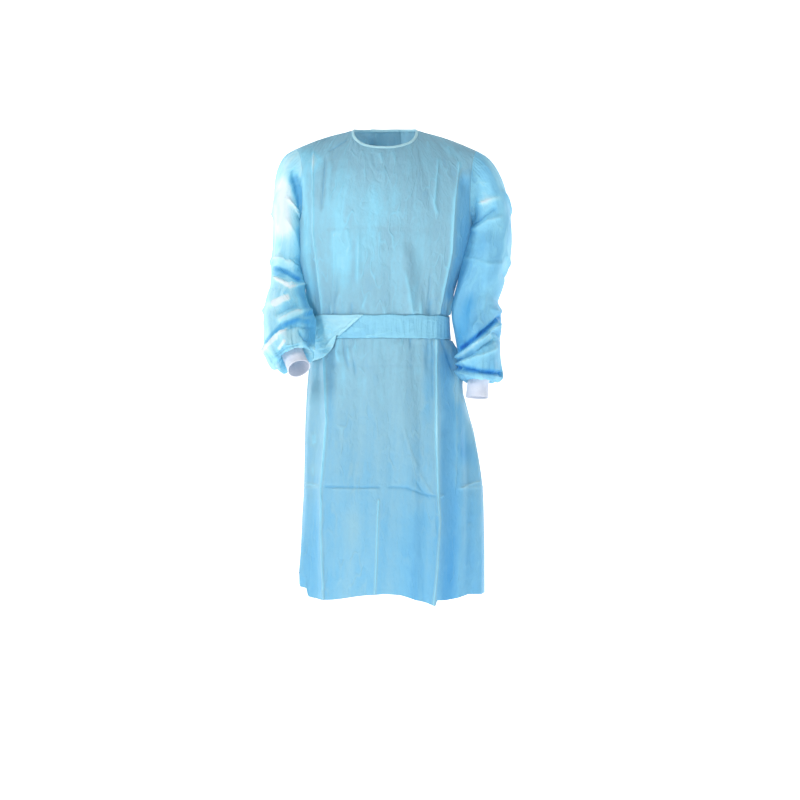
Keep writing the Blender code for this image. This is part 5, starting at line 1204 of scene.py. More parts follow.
def body_sheet(name, points, tables, shades, seed, sides=(True, True)):
    """A body panel: its fine grid pressed, gathered at the belt and rippled, along its own normals."""
    normals = grid_normals(points)
    across, along = cloth_lengths(points)
    height = points[:, :, 2]
    lift = FOLD_SCALE * press(points, normals, tables)
    creased = FOLD_SCALE * press(points, normals, narrow(tables))
    lift += ripples(across, along, BELT_GATHERS["pitch"], BELT_GATHERS["height"], seed) * near_belt(height)
    for step, (pitch, size) in enumerate(BODY_RIPPLES, 1):
        lift += ripples(across, along, pitch, size, seed + step)
    gathered = shoulder_gathers(points, across, along, seed + 5)
    lift += gathered
    creased += gathered
    under = (height > BELT_LOW - BELT_MARGIN) & (height < BELT_HIGH + BELT_MARGIN)
    lift = np.where(under, np.minimum(lift, 0.0) * UNDER_BELT_SHARE, lift)
    lift *= seam_still(points, sides, (False, True))
    points = points + normals * lift[:, :, None]
    # Painted light: creases and the shoulder's pleats are painted paler on their ridges and deeper in their
    # troughs, the tables' patches of painted light and shade are laid on, and painted shade deepens the skirt
    # towards the hem; the clouds are the cloth's own uneven tone
    creased = np.clip(creased, -BODY_CREASE_LIMIT, BODY_CREASE_LIMIT)
    shade = press(points, normals, shades) - CREASE_PAINTED_LIGHT * creased
    for step, (pitch, depth) in enumerate(BODY_CLOUDS, 3):
        shade += ripples(across, along, pitch, depth, seed + step)
    shade += SKIRT_PAINTED_SHADE * smooth_step((BELT_LOW - points[:, :, 2]) / (BELT_LOW - HEM_HEIGHT))
    return grid_object(name, points, shade)

# %% Sleeves
# The cap is puckered along the armhole, and gathers run up from the cuff; each fades over its reach
SLEEVE_FINE = 10
SLEEVE_FOLD_SCALE = 1.8
CUFF_GATHERS = {"height": 0.0013, "reach": 0.035}
CAP_PUCKERS = {"height": 0.0006, "reach": 0.020}
SLEEVE_WAVES = {"height": 0.0007, "reach": 0.05, "shade": 0.05}
CUFF_CURL_SHARE = 0.4
# How far each sleeve sags over its cuff as (x, y, z), and over how many of its rows
SLEEVE_DROOP = {"right": ((0.004, -0.010, -0.013), 1.4), "left": ((-0.004, 0.0, -0.002), 1.6)}
# How much creases are painted paler on ridges and deeper in troughs, as highlight and shade, then the
# painted light on each sleeve's outer edge and on the whole sleeve
SLEEVE_CREASE_PAINTED_LIGHT = 26.0
SLEEVE_CREASE_LIMIT = 0.010
SLEEVE_PAINTED_LIGHT = {"right": (0.04, 0.42), "left": (0.10, 0.08)}


def sleeve_hang(side, normals, cuff_row):
    """How far a sleeve's front sags over its cuff: a bell along its rows, and nothing at the cuff's end."""
    droop, reach = SLEEVE_DROOP[side]
    end = len(normals) - 1
    rows = np.arange(len(normals))[:, None]
    bell = np.exp(-((rows - cuff_row) / (reach * SLEEVE_FINE)) ** 2)
    curl = smooth_step((end - rows) / max(end - cuff_row, 1) * 1.4)
    hang = np.where(rows < cuff_row, bell, curl) * smooth_step(0.35 - normals[:, :, 1])
    return np.array(droop) * hang[:, :, None]


def sleeve_sheet(name, grid, side, tables, shades, seed):
    """A sleeve: its fine grid pressed, gathered at the cuff, puckered at its cap and waved between.

    Gathers and puckers are sines of the turn round the sleeve, swayed by slower ones. The waves are sines of
    turn and length together, so that they run slanting."""
    points = finer(grid, SLEEVE_FINE, SLEEVE_FINE, closed=True)
    normals = grid_normals(points, closed=True) * HANDS[side]
    along = cloth_lengths(points)[1]
    lift = SLEEVE_FOLD_SCALE * press(points, normals, tables)
    creased = SLEEVE_FOLD_SCALE * press(points, normals, narrow(tables))
    cuff_row = (CAP_ROWS + SLEEVE_SECTION_ROWS) * SLEEVE_FINE
    turn = np.arange(points.shape[1]) * 2.0 * math.pi / points.shape[1]
    gathers = np.sin(turn * 23.0 + 1.3 * np.sin(turn * 3.0))
    gathers += 0.5 * np.sin(turn * 37.0 + 2.0 * np.cos(turn * 2.0))
    near_cuff = np.exp(-np.maximum(along[cuff_row] - along, 0.0) / CUFF_GATHERS["reach"])
    lift += CUFF_GATHERS["height"] * gathers[None, :] * near_cuff
    puckers = np.sin(turn * 41.0 + 2.0 * np.sin(turn * 5.0))
    lift += CAP_PUCKERS["height"] * puckers[None, :] * np.exp(-along / CAP_PUCKERS["reach"])
    waves = np.sin(turn * 4.0 + along * 30.0 + seed) + np.sin(turn * 6.0 - along * 41.0 + 2.0 * seed)
    lift += SLEEVE_WAVES["height"] * waves * (1.0 - np.exp(-along / SLEEVE_WAVES["reach"]))
    lift *= seam_still(points, (False, False), (True, False), closed=True)
    past_cuff = np.arange(len(points))[:, None] > cuff_row
    lift = np.where(past_cuff, lift * CUFF_CURL_SHARE, lift)
    points = points + normals * lift[:, :, None] + sleeve_hang(side, normals, cuff_row)
    # Painted light: creases paler on their ridges and deeper in their troughs, the shade following the waves,
    # the tables' patches laid on, and each sleeve painted paler overall and towards its outer side
    painted_rim_light, painted_sleeve_light = SLEEVE_PAINTED_LIGHT[side]
    creased = np.clip(creased, -SLEEVE_CREASE_LIMIT, SLEEVE_CREASE_LIMIT)
    shade = press(points, normals, shades) - SLEEVE_CREASE_PAINTED_LIGHT * creased + SLEEVE_WAVES["shade"] * waves
    shade -= painted_sleeve_light + painted_rim_light * smooth_step((normals[:, :, 0] * HANDS[side] - 0.1) / 0.7)
    return grid_object(name, points, shade, closed=True, flip=side == "right")

# %% The panels and sleeves worked out
FRONT_FINE = (8, 10)
BACK_FINE = (7, 9)
# The front has more points beside its long creases, and in the band of creases pressed across it
CREASE_REACH = 0.4
CREASE_TIMES = 2.5
PRESSED_BAND = (-0.900, -0.852)
BAND_TIMES = 3.0
front = front_panel()
backs = {side: back_panel(side) for side in SIDES}
share_edges(front, backs)
sleeves = {}
for side in SIDES:
    hand = np.array([HANDS[side], 1.0, 1.0])
    loop = halve_steps(armhole_loop(front, backs[side], side))
    inset = halve_steps(armhole_loop(front, backs[side], side, inset=1))
    sleeves[side] = fold_sleeve(sleeve_rows(side, loop, inset), side) * hand

side_tables = ((0, 1.0, SIDE_ROLLS), (0, -1.0, SIDE_ROLLS), (0, 1.0, LEFT_HIP_ROLL))
front_tables = ((1, -1.0, PRESSED_LINES), (1, -1.0, FRONT_ROLLS)) + side_tables
back_tables = ((1, 1.0, BACK_ROLLS),) + side_tables
front_rows = np.interp(PRESSED_BAND, front[:, FRONT_COLUMNS // 2, 2], np.arange(len(front)))
crease_columns = (CORNER_COLUMN, FRONT_COLUMNS // 2, FRONT_COLUMNS - CORNER_COLUMN)
dense_columns = [(column - CREASE_REACH, column + CREASE_REACH, CREASE_TIMES) for column in crease_columns]
fine_front = finer(front, *FRONT_FINE, dense_across=dense_columns, dense_along=((*front_rows, BAND_TIMES),))
fine_backs = {side: finer(backs[side], *BACK_FINE) for side in backs}
for panel in (fine_front, *fine_backs.values()):
    step_hem(panel)
front_sheet = body_sheet("gown_front", fine_front, front_tables, ((1, -1.0, FRONT_HIGHLIGHTS_AND_SHADE),), 11)
back_sheets = {
    "right": body_sheet("gown_back_right", fine_backs["right"], back_tables, (), 21, (False, True)),
    "left": body_sheet("gown_back_left", fine_backs["left"], back_tables, (), 31, (True, False)),
}
sleeve_tables = {
    "right": (SLEEVE_RIGHT_FRONT, SLEEVE_RIGHT_BACK, SLEEVE_RIGHT_INNER, SLEEVE_RIGHT_HIGHLIGHTS_AND_SHADE),
    "left": (SLEEVE_LEFT_FRONT, SLEEVE_LEFT_BACK, SLEEVE_LEFT_INNER, SLEEVE_LEFT_HIGHLIGHTS_AND_SHADE),
}
sleeve_sheets = {}
for seed, side in enumerate(SIDES, 1):
    forward, behind, inner, patches = sleeve_tables[side]
    tables = ((1, -1.0, forward), (1, 1.0, behind), (0, HANDS[side], SLEEVE_OUTER), (0, -HANDS[side], inner))
    sleeve_sheets[side] = sleeve_sheet("gown_sleeve_" + side, sleeves[side], side, tables,
                                       ((1, -1.0, patches),), float(seed))

# %% [markdown]
# ## Cuffs
# The cuffs are knitted tubes. Their ribs could be a bump in the material, but they show at the cuff's edge,
# so they are modelled: the tube's oval is drawn in between one rib and the next.

# %% Cuffs
RIB_COUNT = 62
RIB_DEPTH = 0.00075
CUFF_FINE = 26
# How far each cuff's lower half lies outwards, then its waist, its uneven sag and the roll of its edge
CUFF_SHIFT = {"right": 0.0, "left": -0.006}
CUFF_WAIST = 0.0008
CUFF_SAG = 0.0006
CUFF_ROLL = 0.0010


def cuff_sheet(side):
    """A ribbed tube, its lower edge rolled in and laid up inside it.

    Its oval flares with the square of the way down, is drawn in by a half sine in the middle, and sags by a
    slow sine round it. The ribs are the root of a cosine, as round ridges with narrow valleys."""
    top, direction = cuff_top(side)
    axes = sleeve_frame(*direction)
    hand = np.array([HANDS[side], 1.0, 1.0])
    turn = np.arange(RIB_COUNT * 6) * 2.0 * math.pi / (RIB_COUNT * 6)
    rib = RIB_DEPTH * (np.abs(np.cos(turn * RIB_COUNT / 2.0)) ** 0.7 - 1.0)

    def middle_at(share):
        return top + axes[0] * CUFF_LENGTH * share + axes[1] * CUFF_SHIFT[side] * smooth_step(share / 0.5)

    rows = []
    for share in np.linspace(0.0, 1.0, CUFF_FINE):
        grow = CUFF_FLARE * share ** 2 - CUFF_WAIST * math.sin(math.pi * share)
        grow = grow + CUFF_SAG * np.sin(turn * 3.0 + share * 4.0) + rib
        ring = oval(middle_at(share), axes, turn, CUFF_HALF_WIDTH + grow, CUFF_HALF_DEPTH + grow)
        rows.append(ring * hand)
    edge, middle = rows[-1], middle_at(1.0) * hand
    for swing in np.linspace(0.0, math.pi, 5)[1:]:
        shrink = 1.0 - CUFF_ROLL * (1.0 - math.cos(swing)) / CUFF_HALF_WIDTH
        rows.append(middle + (edge - middle) * shrink + axes[0] * hand * CUFF_ROLL * math.sin(swing))
    inside = rows[-1]
    for share in np.linspace(0.95, 0.0, 8):
        rows.append(inside + (middle_at(share) - middle_at(1.0)) * hand)
    return grid_object("cuff_knit_" + side, np.array(rows), closed=True, flip=side == "right")


cuffs = {side: cuff_sheet(side) for side in SIDES}

# %% [markdown]
# ## Binding
# The neckline is bound with a narrow strip cut on the slant, folded over the edge. A curve with a bevel would
# make an even cord; a section of its own, carried along the neckline, keeps the strip's flat face and its
# rolled upper edge.

# %% Binding
# Steps for each of the panels' own, then how high the strip sits on the edge and how it waves and puckers
NECK_STEPS = 12
BINDING_SEAT = -0.0005
BINDING_WAVE = 0.0003
BINDING_PUCKER = 0.00028
# The strip's section: points of (out from the cloth, up from its edge)
BINDING_SECTION = (
    (-0.0017, 0.0004), (-0.0021, 0.0022), (-0.0019, 0.0046), (-0.001, 0.0064), (0.0, 0.007),
    (0.0008, 0.0062), (0.0012, 0.0044), (0.0009, 0.0031), (0.0006, 0.0026), (0.001, 0.0021),
    (0.0011, 0.001), (0.0004, 0.0002), (-0.0008, 0.0001),
)


def edge_line(points):
    """A line of points drawn finer with the same cubics as the panels."""
    return finer_along(points[:, None], places_along(len(points), NECK_STEPS))[:, 0]


def binding_path():
    """The neckline from the right back's inner end, round the front, to the left back's outer end."""
    stretches = (
        (backs["right"], slice(0, BACK_COLUMNS - SHOULDER_COLUMNS)),
        (front, slice(SHOULDER_COLUMNS, FRONT_COLUMNS - SHOULDER_COLUMNS + 1)),
        (backs["left"], slice(SHOULDER_COLUMNS + 1, None)),
    )
    edge = np.concatenate([panel[-1, cells] for panel, cells in stretches])
    return edge, np.concatenate([grid_normals(panel)[-1, cells] for panel, cells in stretches])


def binding_strip():
    """The strip's section of (out, up) points carried along the neckline, waved and finely puckered."""
    edge, walls = binding_path()
    up = unit(np.cross(np.gradient(edge, axis=0), -walls))
    up = -up if up[:, 2].mean() < 0.0 else up
    line, out, rise = edge_line(edge), unit(edge_line(walls)), unit(edge_line(up))
    run = running_length(line, 0)
    pucker = BINDING_PUCKER * np.sin(run * 900.0 + 2.0 * np.sin(run * 70.0))
    wave = BINDING_WAVE * (np.sin(run * 95.0) + np.sin(run * 41.0 + 1.0)) + BINDING_SEAT
    rows = []
    for away, height in BINDING_SECTION:
        puckered = away + pucker * (0.004 < height < 0.0066)
        rows.append(line + out * puckered[:, None] + rise * (wave + height)[:, None])
    return grid_object("neck_binding_strip", np.array(rows).transpose(1, 0, 2)[::-1], closed=True)


binding = binding_strip()

# %% [markdown]
# ## Belt
# The belt is a strip doubled along its length. It is laid on the panels' own points and drawn finer, as one
# flat tube, so that it has a face, a back and rounded edges. At the right it turns over along a slanting fold
# and opens out, which is a second strip with its own edges. A shrink-wrapped band would follow each crease
# below it; a real belt spans them.

# %% Belt
# Steps across and along for each of the belt's own
BELT_FINE = (12, 9)
OPENED_FINE = (12, 14)
# How far a strip's back lies under its middle and its face over it, and the most that the face stands up
BELT_BACK = 0.0011
OPENED_BACK = 0.0006
BELT_REST = 0.0006
OPENED_REST = 0.0008
STRIP_LIMIT = 0.004
# The belt's own columns end this far from the slanting fold, and the fold's start this far past its top
BELT_FOLD_CLEAR = 0.006
BELT_FOLD_START = 0.004
BELT_EDGE_WAVE = 0.0012
belt_panels = {"front": front, "left": backs["left"], "right": backs["right"]}
panels = {name: {"seam_points": grid, "normals": grid_normals(grid)} for name, grid in belt_panels.items()}


def strip_grid(columns, lift):
    """Columns of (points, normals) as one grid of each, the points lifted along their normals."""
    points = np.array([place + facing * lift for place, facing in columns]).transpose(1, 0, 2)
    facing = np.array([facing for place, facing in columns]).transpose(1, 0, 2)
    return points, facing


def closed_strip(name, grid, walls, back, lift_at, fine):
    """A doubled strip as a flat tube: the face from its low edge up, then the back down again.

    Both are the strip's grid moved along its normals, times a half sine across it to a small power, so that
    they meet in rounded edges."""
    middle = finer(grid, *fine)
    facing = unit(finer(walls, *fine))
    lift = lift_at(middle, *cloth_lengths(middle))
    bulge = np.sin(np.linspace(0.0, math.pi, len(middle)))[:, None] ** 0.35
    face = middle + facing * (lift * bulge)[:, :, None]
    inner = middle - facing * (back * bulge)[:, :, None]
    ring = np.concatenate([face, inner[-2:0:-1]])
    return grid_object(name, ring.transpose(1, 0, 2), closed=True, flip=True)


def belt_columns():
    """Columns of the belt from its turn, over the front's left part and the left back, to the knot."""
    heights = np.array([BELT_LOW, BELT_MIDDLE, BELT_HIGH])
    columns = []
    for column in range(FRONT_COLUMNS, 0, -1):
        if front[BELT_ROW, column, 0] > TURN_TOP_ACROSS + BELT_FOLD_CLEAR:
            columns.append(on_column(panels["front"], column, heights))
    for share in (0.0, 0.5, 1.0):
        down = (BELT_HIGH - heights) / (BELT_HIGH - BELT_LOW)
        end = TURN_TOP_ACROSS + (TURN_FOOT_ACROSS - TURN_TOP_ACROSS) * down
        start = TURN_TOP_ACROSS + BELT_FOLD_START
        columns.append(on_panel(panels["front"], start + (end - start) * share, heights))
    columns = columns[::-1]
    for column in range(1, KNOT_COLUMN):
        columns.append(on_column(panels["left"], column, heights))
    columns.append(on_panel(panels["left"], np.full(3, KNOT_LEFT_END), heights))
    return columns


BELT_PUCKERS = (
    (((0.037, -0.463), (0.044, -0.508)), 0.003, 0.0016, 1.3, 0.004, 0.006),
    (((0.046, -0.466), (0.051, -0.513)), 0.003, -0.0016, 1.3, 0.004, 0.006),
    (((0.056, -0.468), (0.058, -0.506)), 0.003, 0.0016, 1.3, 0.004, 0.006),
    (((0.032, -0.47), (0.029, -0.503)), 0.003, -0.0012, 1.3, 0.004, 0.006),
    (((0.065, -0.47), (0.067, -0.503)), 0.0036, 0.0012, 1.4, 0.004, 0.006),
    (((-0.025, -0.466), (-0.027, -0.503)), 0.0036, 0.0008, 1.4, 0.004, 0.006),
    (((0.008, -0.47), (0.011, -0.508)), 0.0036, -0.0008, 1.4, 0.004, 0.006),
    (((0.122, -0.461), (0.124, -0.508)), 0.0046, 0.0012, 1.5, 0.004, 0.006),
)


def belt_lift(points, across, along):
    """The belt's puckers, on its front stretch only, and small ripples, never below where it rests."""
    lift = fold_field(points[:, :, 0], points[:, :, 2], BELT_PUCKERS) * (points[:, :, 1] < 0.0)
    lift += ripples(across, along, 0.019, 0.0007, 41) + ripples(across, along, 0.008, 0.0003, 42)
    return np.clip(lift + BELT_REST, 0.0, STRIP_LIMIT)


belt_points, belt_walls = strip_grid(belt_columns(), BELT_LIFT + CLOTH_WALL)
belt_points[-1, :, 2] += BELT_EDGE_WAVE * np.sin(np.arange(belt_points.shape[1]) * 1.1)
belt = closed_strip("belt_strip", belt_points, belt_walls, BELT_BACK, belt_lift, BELT_FINE)

# %% The opened stretch
# The same two distances for the opened stretch, the second measured up from the belt's low edge
OPENED_FOLD_CLEAR = 0.004
OPENED_FOLD_RISE = 0.006


def opened_columns():
    """Columns of the opened stretch from the knot, over the right back, to its slanting fold in front."""
    end_bearing = 90.0 - math.degrees(math.asin(KNOT_RIGHT_END / -float(body_section(BELT_MIDDLE)["right"])))
    columns = [on_panel(panels["right"], np.full(4, KNOT_RIGHT_END), opened_heights(180.0 - end_bearing))]
    for column, bearing in enumerate(np.degrees(back_bearings("right", BELT_HIGH))):
        if bearing > 90.0 + LAP_HEM_DEGREES:
            columns.append(on_column(panels["right"], column, opened_heights(bearing)))
    for column in range(1, FRONT_COLUMNS // 2):
        if front[BELT_ROW, column, 0] > TURN_FOOT_ACROSS - OPENED_FOLD_CLEAR:
            break
        bearing = math.degrees(front_bearings(BELT_HIGH)[column])
        columns.append(on_column(panels["front"], column, opened_heights(bearing)))
    for share in (0.35, 0.7, 1.0):
        low_end = TURN_FOOT_ACROSS + TURN_OVERLAP * share
        high_end = TURN_FOOT_ACROSS + (TURN_TOP_ACROSS + TURN_OVERLAP - TURN_FOOT_ACROSS) * share
        heights = np.linspace(BELT_LOW + OPENED_FOLD_RISE, BELT_HIGH, 4)
        columns.append(on_panel(panels["front"], np.linspace(low_end, high_end, 4), heights))
    return columns


TURN_FOLDS = (
    (((-0.063, -0.461), (-0.091, -0.487), (-0.118, -0.508), (-0.139, -0.532),
      (-0.153, -0.565)), 0.0034, 0.0026, 1.1, 0.004, 0.004),
    (((-0.068, -0.454), (-0.096, -0.461), (-0.129, -0.456)), 0.004, 0.0018, 1.3, 0.006, 0.01),
    (((-0.082, -0.468), (-0.11, -0.47), (-0.139, -0.468)), 0.0034, -0.0014, 1.3, 0.006, 0.01),
    (((-0.139, -0.475), (-0.148, -0.503), (-0.151, -0.541)), 0.005, 0.0022, 1.5, 0.006, 0.006),
    (((-0.127, -0.508), (-0.139, -0.522), (-0.146, -0.546)), 0.0034, -0.0016, 1.3, 0.006, 0.006),
)


def opened_lift(points, across, along):
    """The opened stretch's folds, on its front part only, and ripples both ways."""
    lift = fold_field(points[:, :, 0], points[:, :, 2], TURN_FOLDS) * (points[:, :, 1] < 0.0)
    lift += ripples(along, across, 0.030, 0.0007, 43) + ripples(across, along, 0.014, 0.0005, 44)
    return np.clip(lift + OPENED_REST, 0.0, STRIP_LIMIT)


opened_points, opened_walls = strip_grid(opened_columns(), OPENED_LIFT + CLOTH_WALL)
belt_opened = closed_strip("belt_opened", opened_points, opened_walls, OPENED_BACK, opened_lift, OPENED_FINE)

# %% [markdown]
# ## Knots and hanging ends
# The belt and the neck's ties are tied at the back, where the photograph doesn't show them. A knot could be
# modelled as crossing strands; at this size a rounded block, with its cloth's folds as sines, reads the same
# and can't cut through itself. The ends are folded strips that spread towards a slanted cut.

# %% Knots and hanging ends
# Points across and along, then an end's face and back from its middle, its stand-off and its gathers
KNOT_GRID = (61, 49)
TAIL_GRID = (25, 60)
TAIL_FACE = 0.0009
TAIL_BACK = 0.0003
TAIL_REST = 0.0004
BELT_TAIL_GATHER = 0.0016
NECK_TAIL_GATHER = 0.0002


def knot_object(name, surface, ends, depth, edge_depth, lift, turns):
    """A tied knot: a rounded block with slanting folds and one broad fold across its middle.

    Its height is its edge's depth, and the rest of its depth times (1 - |u| cubed) times (1 - |v| cubed),
    where u and v run from -1 to 1 over it. A last row and column all round lie on the cloth and close it."""
    right_end, left_end, low, high = ends
    u = np.linspace(-1.0, 1.0, KNOT_GRID[0])
    v = np.linspace(-1.0, 1.0, KNOT_GRID[1])
    across = (right_end + left_end) / 2.0 + (left_end - right_end) / 2.0 * u
    heights = (low + high) / 2.0 + (high - low) / 2.0 * v
    places = np.array([surface(across, np.full(KNOT_GRID[0], at)) for at in heights])
    under, facing = places.transpose(1, 0, 2, 3)
    u, v = u[None, :], v[:, None]
    round_off = (1.0 - np.abs(u) ** 3) * (1.0 - np.abs(v) ** 3)
    folds = 0.10 * np.sin((u * 1.2 + v * 2.4) * turns) * (1.0 - np.exp(-(u / 0.30) ** 2))
    folds = folds + 0.16 * np.exp(-(u / 0.34) ** 4) * (1.0 + 0.35 * np.sin(u * 14.0 + v))
    height = lift + edge_depth + (depth - edge_depth) * round_off * (0.82 + folds)
    points = np.pad(under + facing * lift, ((1, 1), (1, 1), (0, 0)), mode="edge")
    points[1:-1, 1:-1] = under + facing * height[:, :, None]
    return grid_object(name, points, flip=True)


def tail_object(name, row, surface, lift, gather):
    """A hanging end: a folded strip, gathered where it leaves the knot and cut slanting at its foot.

    Its folds are a squared cosine across it, which fades and leans on the way down."""
    tail = dict(zip(TAIL_COLUMNS, row))
    count, rows = TAIL_GRID
    down = np.linspace(1.0, 0.0, rows)
    strips = []
    for share in down:
        ends = [tail["top_" + side] + (tail["foot_" + side] - tail["top_" + side]) * share for side in SIDES]
        feet = [tail["top"] + (tail["foot_%s_z" % side] - tail["top"]) * share for side in SIDES]
        strips.append(surface(np.linspace(*ends, count), np.linspace(*feet, count)))
    place, facing = np.array(strips).transpose(1, 0, 2, 3)
    u, down = np.linspace(-1.0, 1.0, count)[None, :], down[:, None]
    folds = (0.4 + 0.6 * np.exp(-down * 4.0)) * np.cos(u * 7.0 + down * 2.0) ** 2
    low = lift + TAIL_REST + gather * folds
    edge = 1.0 - np.abs(u) ** 6
    face = place + facing * (low + TAIL_FACE * edge)[:, :, None]
    back = place + facing * (low - TAIL_BACK * edge)[:, :, None]
    return grid_object(name, np.concatenate([face, back[:, -2:0:-1]], axis=1), closed=True, flip=True)


def on_left(across, heights):
    """Points and normals of the left back, as on_back gives them for the lapped middle."""
    return on_panel(panels["left"], np.asarray(across), np.asarray(heights))


BELT_KNOT_ENDS = (KNOT_RIGHT_END, KNOT_LEFT_END, KNOT_LOW, KNOT_HIGH)
NECK_KNOT_ENDS = (NECK_KNOT_RIGHT_END, NECK_KNOT_LEFT_END, NECK_KNOT_LOW, NECK_KNOT_HIGH)
belt_knot = knot_object("belt_knot_tied", on_back, BELT_KNOT_ENDS, KNOT_DEPTH, KNOT_EDGE_DEPTH, SEAM_GAP, 3.0)
belt_tails = [tail_object(name, row, on_back, TAIL_LIFT, BELT_TAIL_GATHER)
              for name, row in zip(("belt_tail_right", "belt_tail_left"), BELT_TAILS)]
neck_knot = knot_object("neck_knot_tied", on_left, NECK_KNOT_ENDS, NECK_KNOT_DEPTH, NECK_KNOT_EDGE_DEPTH,
                        TAIL_LIFT / 2.0, 2.0)
neck_tails = [tail_object(name, row, on_left, TAIL_LIFT, NECK_TAIL_GATHER)
              for name, row in zip(("neck_tail_right", "neck_tail_left"), NECK_TAILS)]

# %% [markdown]
# ## Materials
# Spunbond polypropylene is a web of fine fibres: matt, a little shiny along its creases, and it lets light
# through. So a Principled shader is mixed with a Translucent one, which lights the hollow sleeves and skirt
# from behind. Subsurface scattering would blur the fine creases. Patterns run on the cloth itself, in metres,
# through each piece's own UV.

# %% Materials
# Colours of the cloth from its palest, which only painted highlights reach, to its deepest, for the body and
# for the rest, then those of the knit
BODY_STOPS = (
    (0.0, "#effbff"), (0.13, "#beeefc"), (0.26, "#98def6"), (0.42, "#94c6da"),
    (0.6, "#79bde1"), (0.8, "#5babdf"), (1.0, "#3a94de"),
)
CLEAR_STOPS = (
    (0.0, "#f6feff"), (0.13, "#c8f4fd"), (0.26, "#a0e4fa"), (0.42, "#86cdee"),
    (0.6, "#6abfeb"), (0.8, "#4fa9ea"), (1.0, "#3a8cdc"),
)
CUFF_STOPS = ((0.1, "#ced5e7"), (0.8, "#edf0f9"))


def to_linear(colour):
    """An sRGB hex colour as linear numbers."""
    parts = [int(colour[i:i + 2], 16) / 255.0 for i in (1, 3, 5)]
    return tuple(p / 12.92 if p <= 0.04045 else ((p + 0.055) / 1.055) ** 2.4 for p in parts)


def add(tree, kind, inputs=None, **settings):
    """Adds a node, with its settings, and its inputs set to numbers or linked to sockets."""
    node = tree.nodes.new(kind)
    for key, value in settings.items():
        setattr(node, key, value)
    for key, value in (inputs or {}).items():
        socket = node.inputs[key]
        if isinstance(value, bpy.types.NodeSocket):
            tree.links.new(value, socket)
        else:
            socket.default_value = value
    return node


def ramp(tree, value, stops):
    """A colour ramp through (place, linear colour) stops."""
    node = add(tree, "ShaderNodeValToRGB", {"Fac": value})
    band = node.color_ramp
    while len(band.elements) < len(stops):
        band.elements.new(0.5)
    for element, (place, colour) in zip(band.elements, stops):
        element.position = place
        element.color = (*to_linear(colour), 1.0)
    return node.outputs["Color"]


def maths(tree, operation, a, b=0.0):
    """The result of one arithmetic node."""
    return add(tree, "ShaderNodeMath", {0: a, 1: b}, operation=operation).outputs[0]


def shader_tree(name):
    """A new material and its emptied node tree."""
    material = bpy.data.materials.new(name)
    material.use_nodes = True
    material.node_tree.nodes.clear()
    return material, material.node_tree


def cloth_noise(tree, scale, detail, roughness=0.5):
    """Noise on the cloth's own UV, with its scale across and along in waves a metre."""
    uv = add(tree, "ShaderNodeUVMap", uv_map="cloth").outputs["UV"]
    place = add(tree, "ShaderNodeMapping", {"Vector": uv, "Scale": (*scale, 1.0)}).outputs["Vector"]
    values = {"Vector": place, "Scale": 1.0, "Detail": detail, "Roughness": roughness}
    return add(tree, "ShaderNodeTexNoise", values).outputs["Fac"]


def away_from_half(tree, noise):
    """How far a noise is from 0.5: it comes to a sharp line where the noise passes 0.5."""
    return maths(tree, "ABSOLUTE", maths(tree, "SUBTRACT", noise, 0.5))


def bumps(tree, heights):
    """Bump nodes one on another, each a (height, strength, metres) of its own."""
    normal = None
    for height, strength, distance in heights:
        values = {"Height": height, "Strength": strength, "Distance": distance}
        if normal is not None:
            values["Normal"] = normal
        normal = add(tree, "ShaderNodeBump", values).outputs["Normal"]
    return normal

# %% Nonwoven cloth
def nonwoven(name, stops, depth, through):
    """Nonwoven polypropylene: depth sets how deep its blue is, through how much light it lets pass.

    Its tone is half its shade plus depth, clouds, streaks and the web of fibres, less a painted highlight on
    its wrinkles."""
    material, tree = shader_tree(name)
    shade = add(tree, "ShaderNodeAttribute", attribute_name="shade").outputs["Fac"]
    cloud = cloth_noise(tree, (17.0, 9.0), 4.0, 0.6)
    streak = cloth_noise(tree, (110.0, 70.0), 3.0, 0.6)
    web = cloth_noise(tree, (1500.0, 900.0), 3.0, 0.7)
    tone = maths(tree, "ADD", maths(tree, "MULTIPLY", shade, 0.5), depth)
    for noise, reach in ((cloud, 0.26), (streak, 0.06), (web, 0.09)):
        tone = maths(tree, "ADD", tone, maths(tree, "MULTIPLY", maths(tree, "SUBTRACT", noise, 0.5), reach))
    # Thin lines where a slow noise passes 0.5, and only where the clouds are deep: wrinkles, bumped and
    # painted paler as a highlight
    line = maths(tree, "MULTIPLY", away_from_half(tree, cloth_noise(tree, (40.0, 13.0), 1.0)), 18.0)
    line = maths(tree, "MAXIMUM", maths(tree, "SUBTRACT", 1.0, line))
    there = maths(tree, "MAXIMUM", maths(tree, "MULTIPLY", maths(tree, "SUBTRACT", cloud, 0.47), 6.0))
    wrinkle_and_highlight = maths(tree, "MULTIPLY", line, maths(tree, "MINIMUM", there, 1.0))
    tone = maths(tree, "SUBTRACT", tone, maths(tree, "MULTIPLY", wrinkle_and_highlight, 0.10))
    colour = ramp(tree, tone, stops)
    crease = away_from_half(tree, cloth_noise(tree, (26.0, 15.0), 3.0))
    crumple = cloth_noise(tree, (60.0, 38.0), 4.0, 0.55)
    heights = ((crease, 1.0, 0.0070), (wrinkle_and_highlight, 1.0, 0.0011), (crumple, 1.0, 0.0010), (web, 1.0, 0.00016))
    normal = bumps(tree, heights)
    face = add(tree, "ShaderNodeBsdfPrincipled", {
        "Base Color": colour, "Normal": normal, "Roughness": 0.52, "Specular IOR Level": 0.26,
        "Sheen Weight": 0.04, "Sheen Roughness": 0.5})
    behind = add(tree, "ShaderNodeBsdfTranslucent", {"Color": colour, "Normal": normal})
    mix = add(tree, "ShaderNodeMixShader", {"Fac": through, 1: face.outputs[0], 2: behind.outputs[0]})
    add(tree, "ShaderNodeOutputMaterial", {"Surface": mix.outputs[0]})
    return material

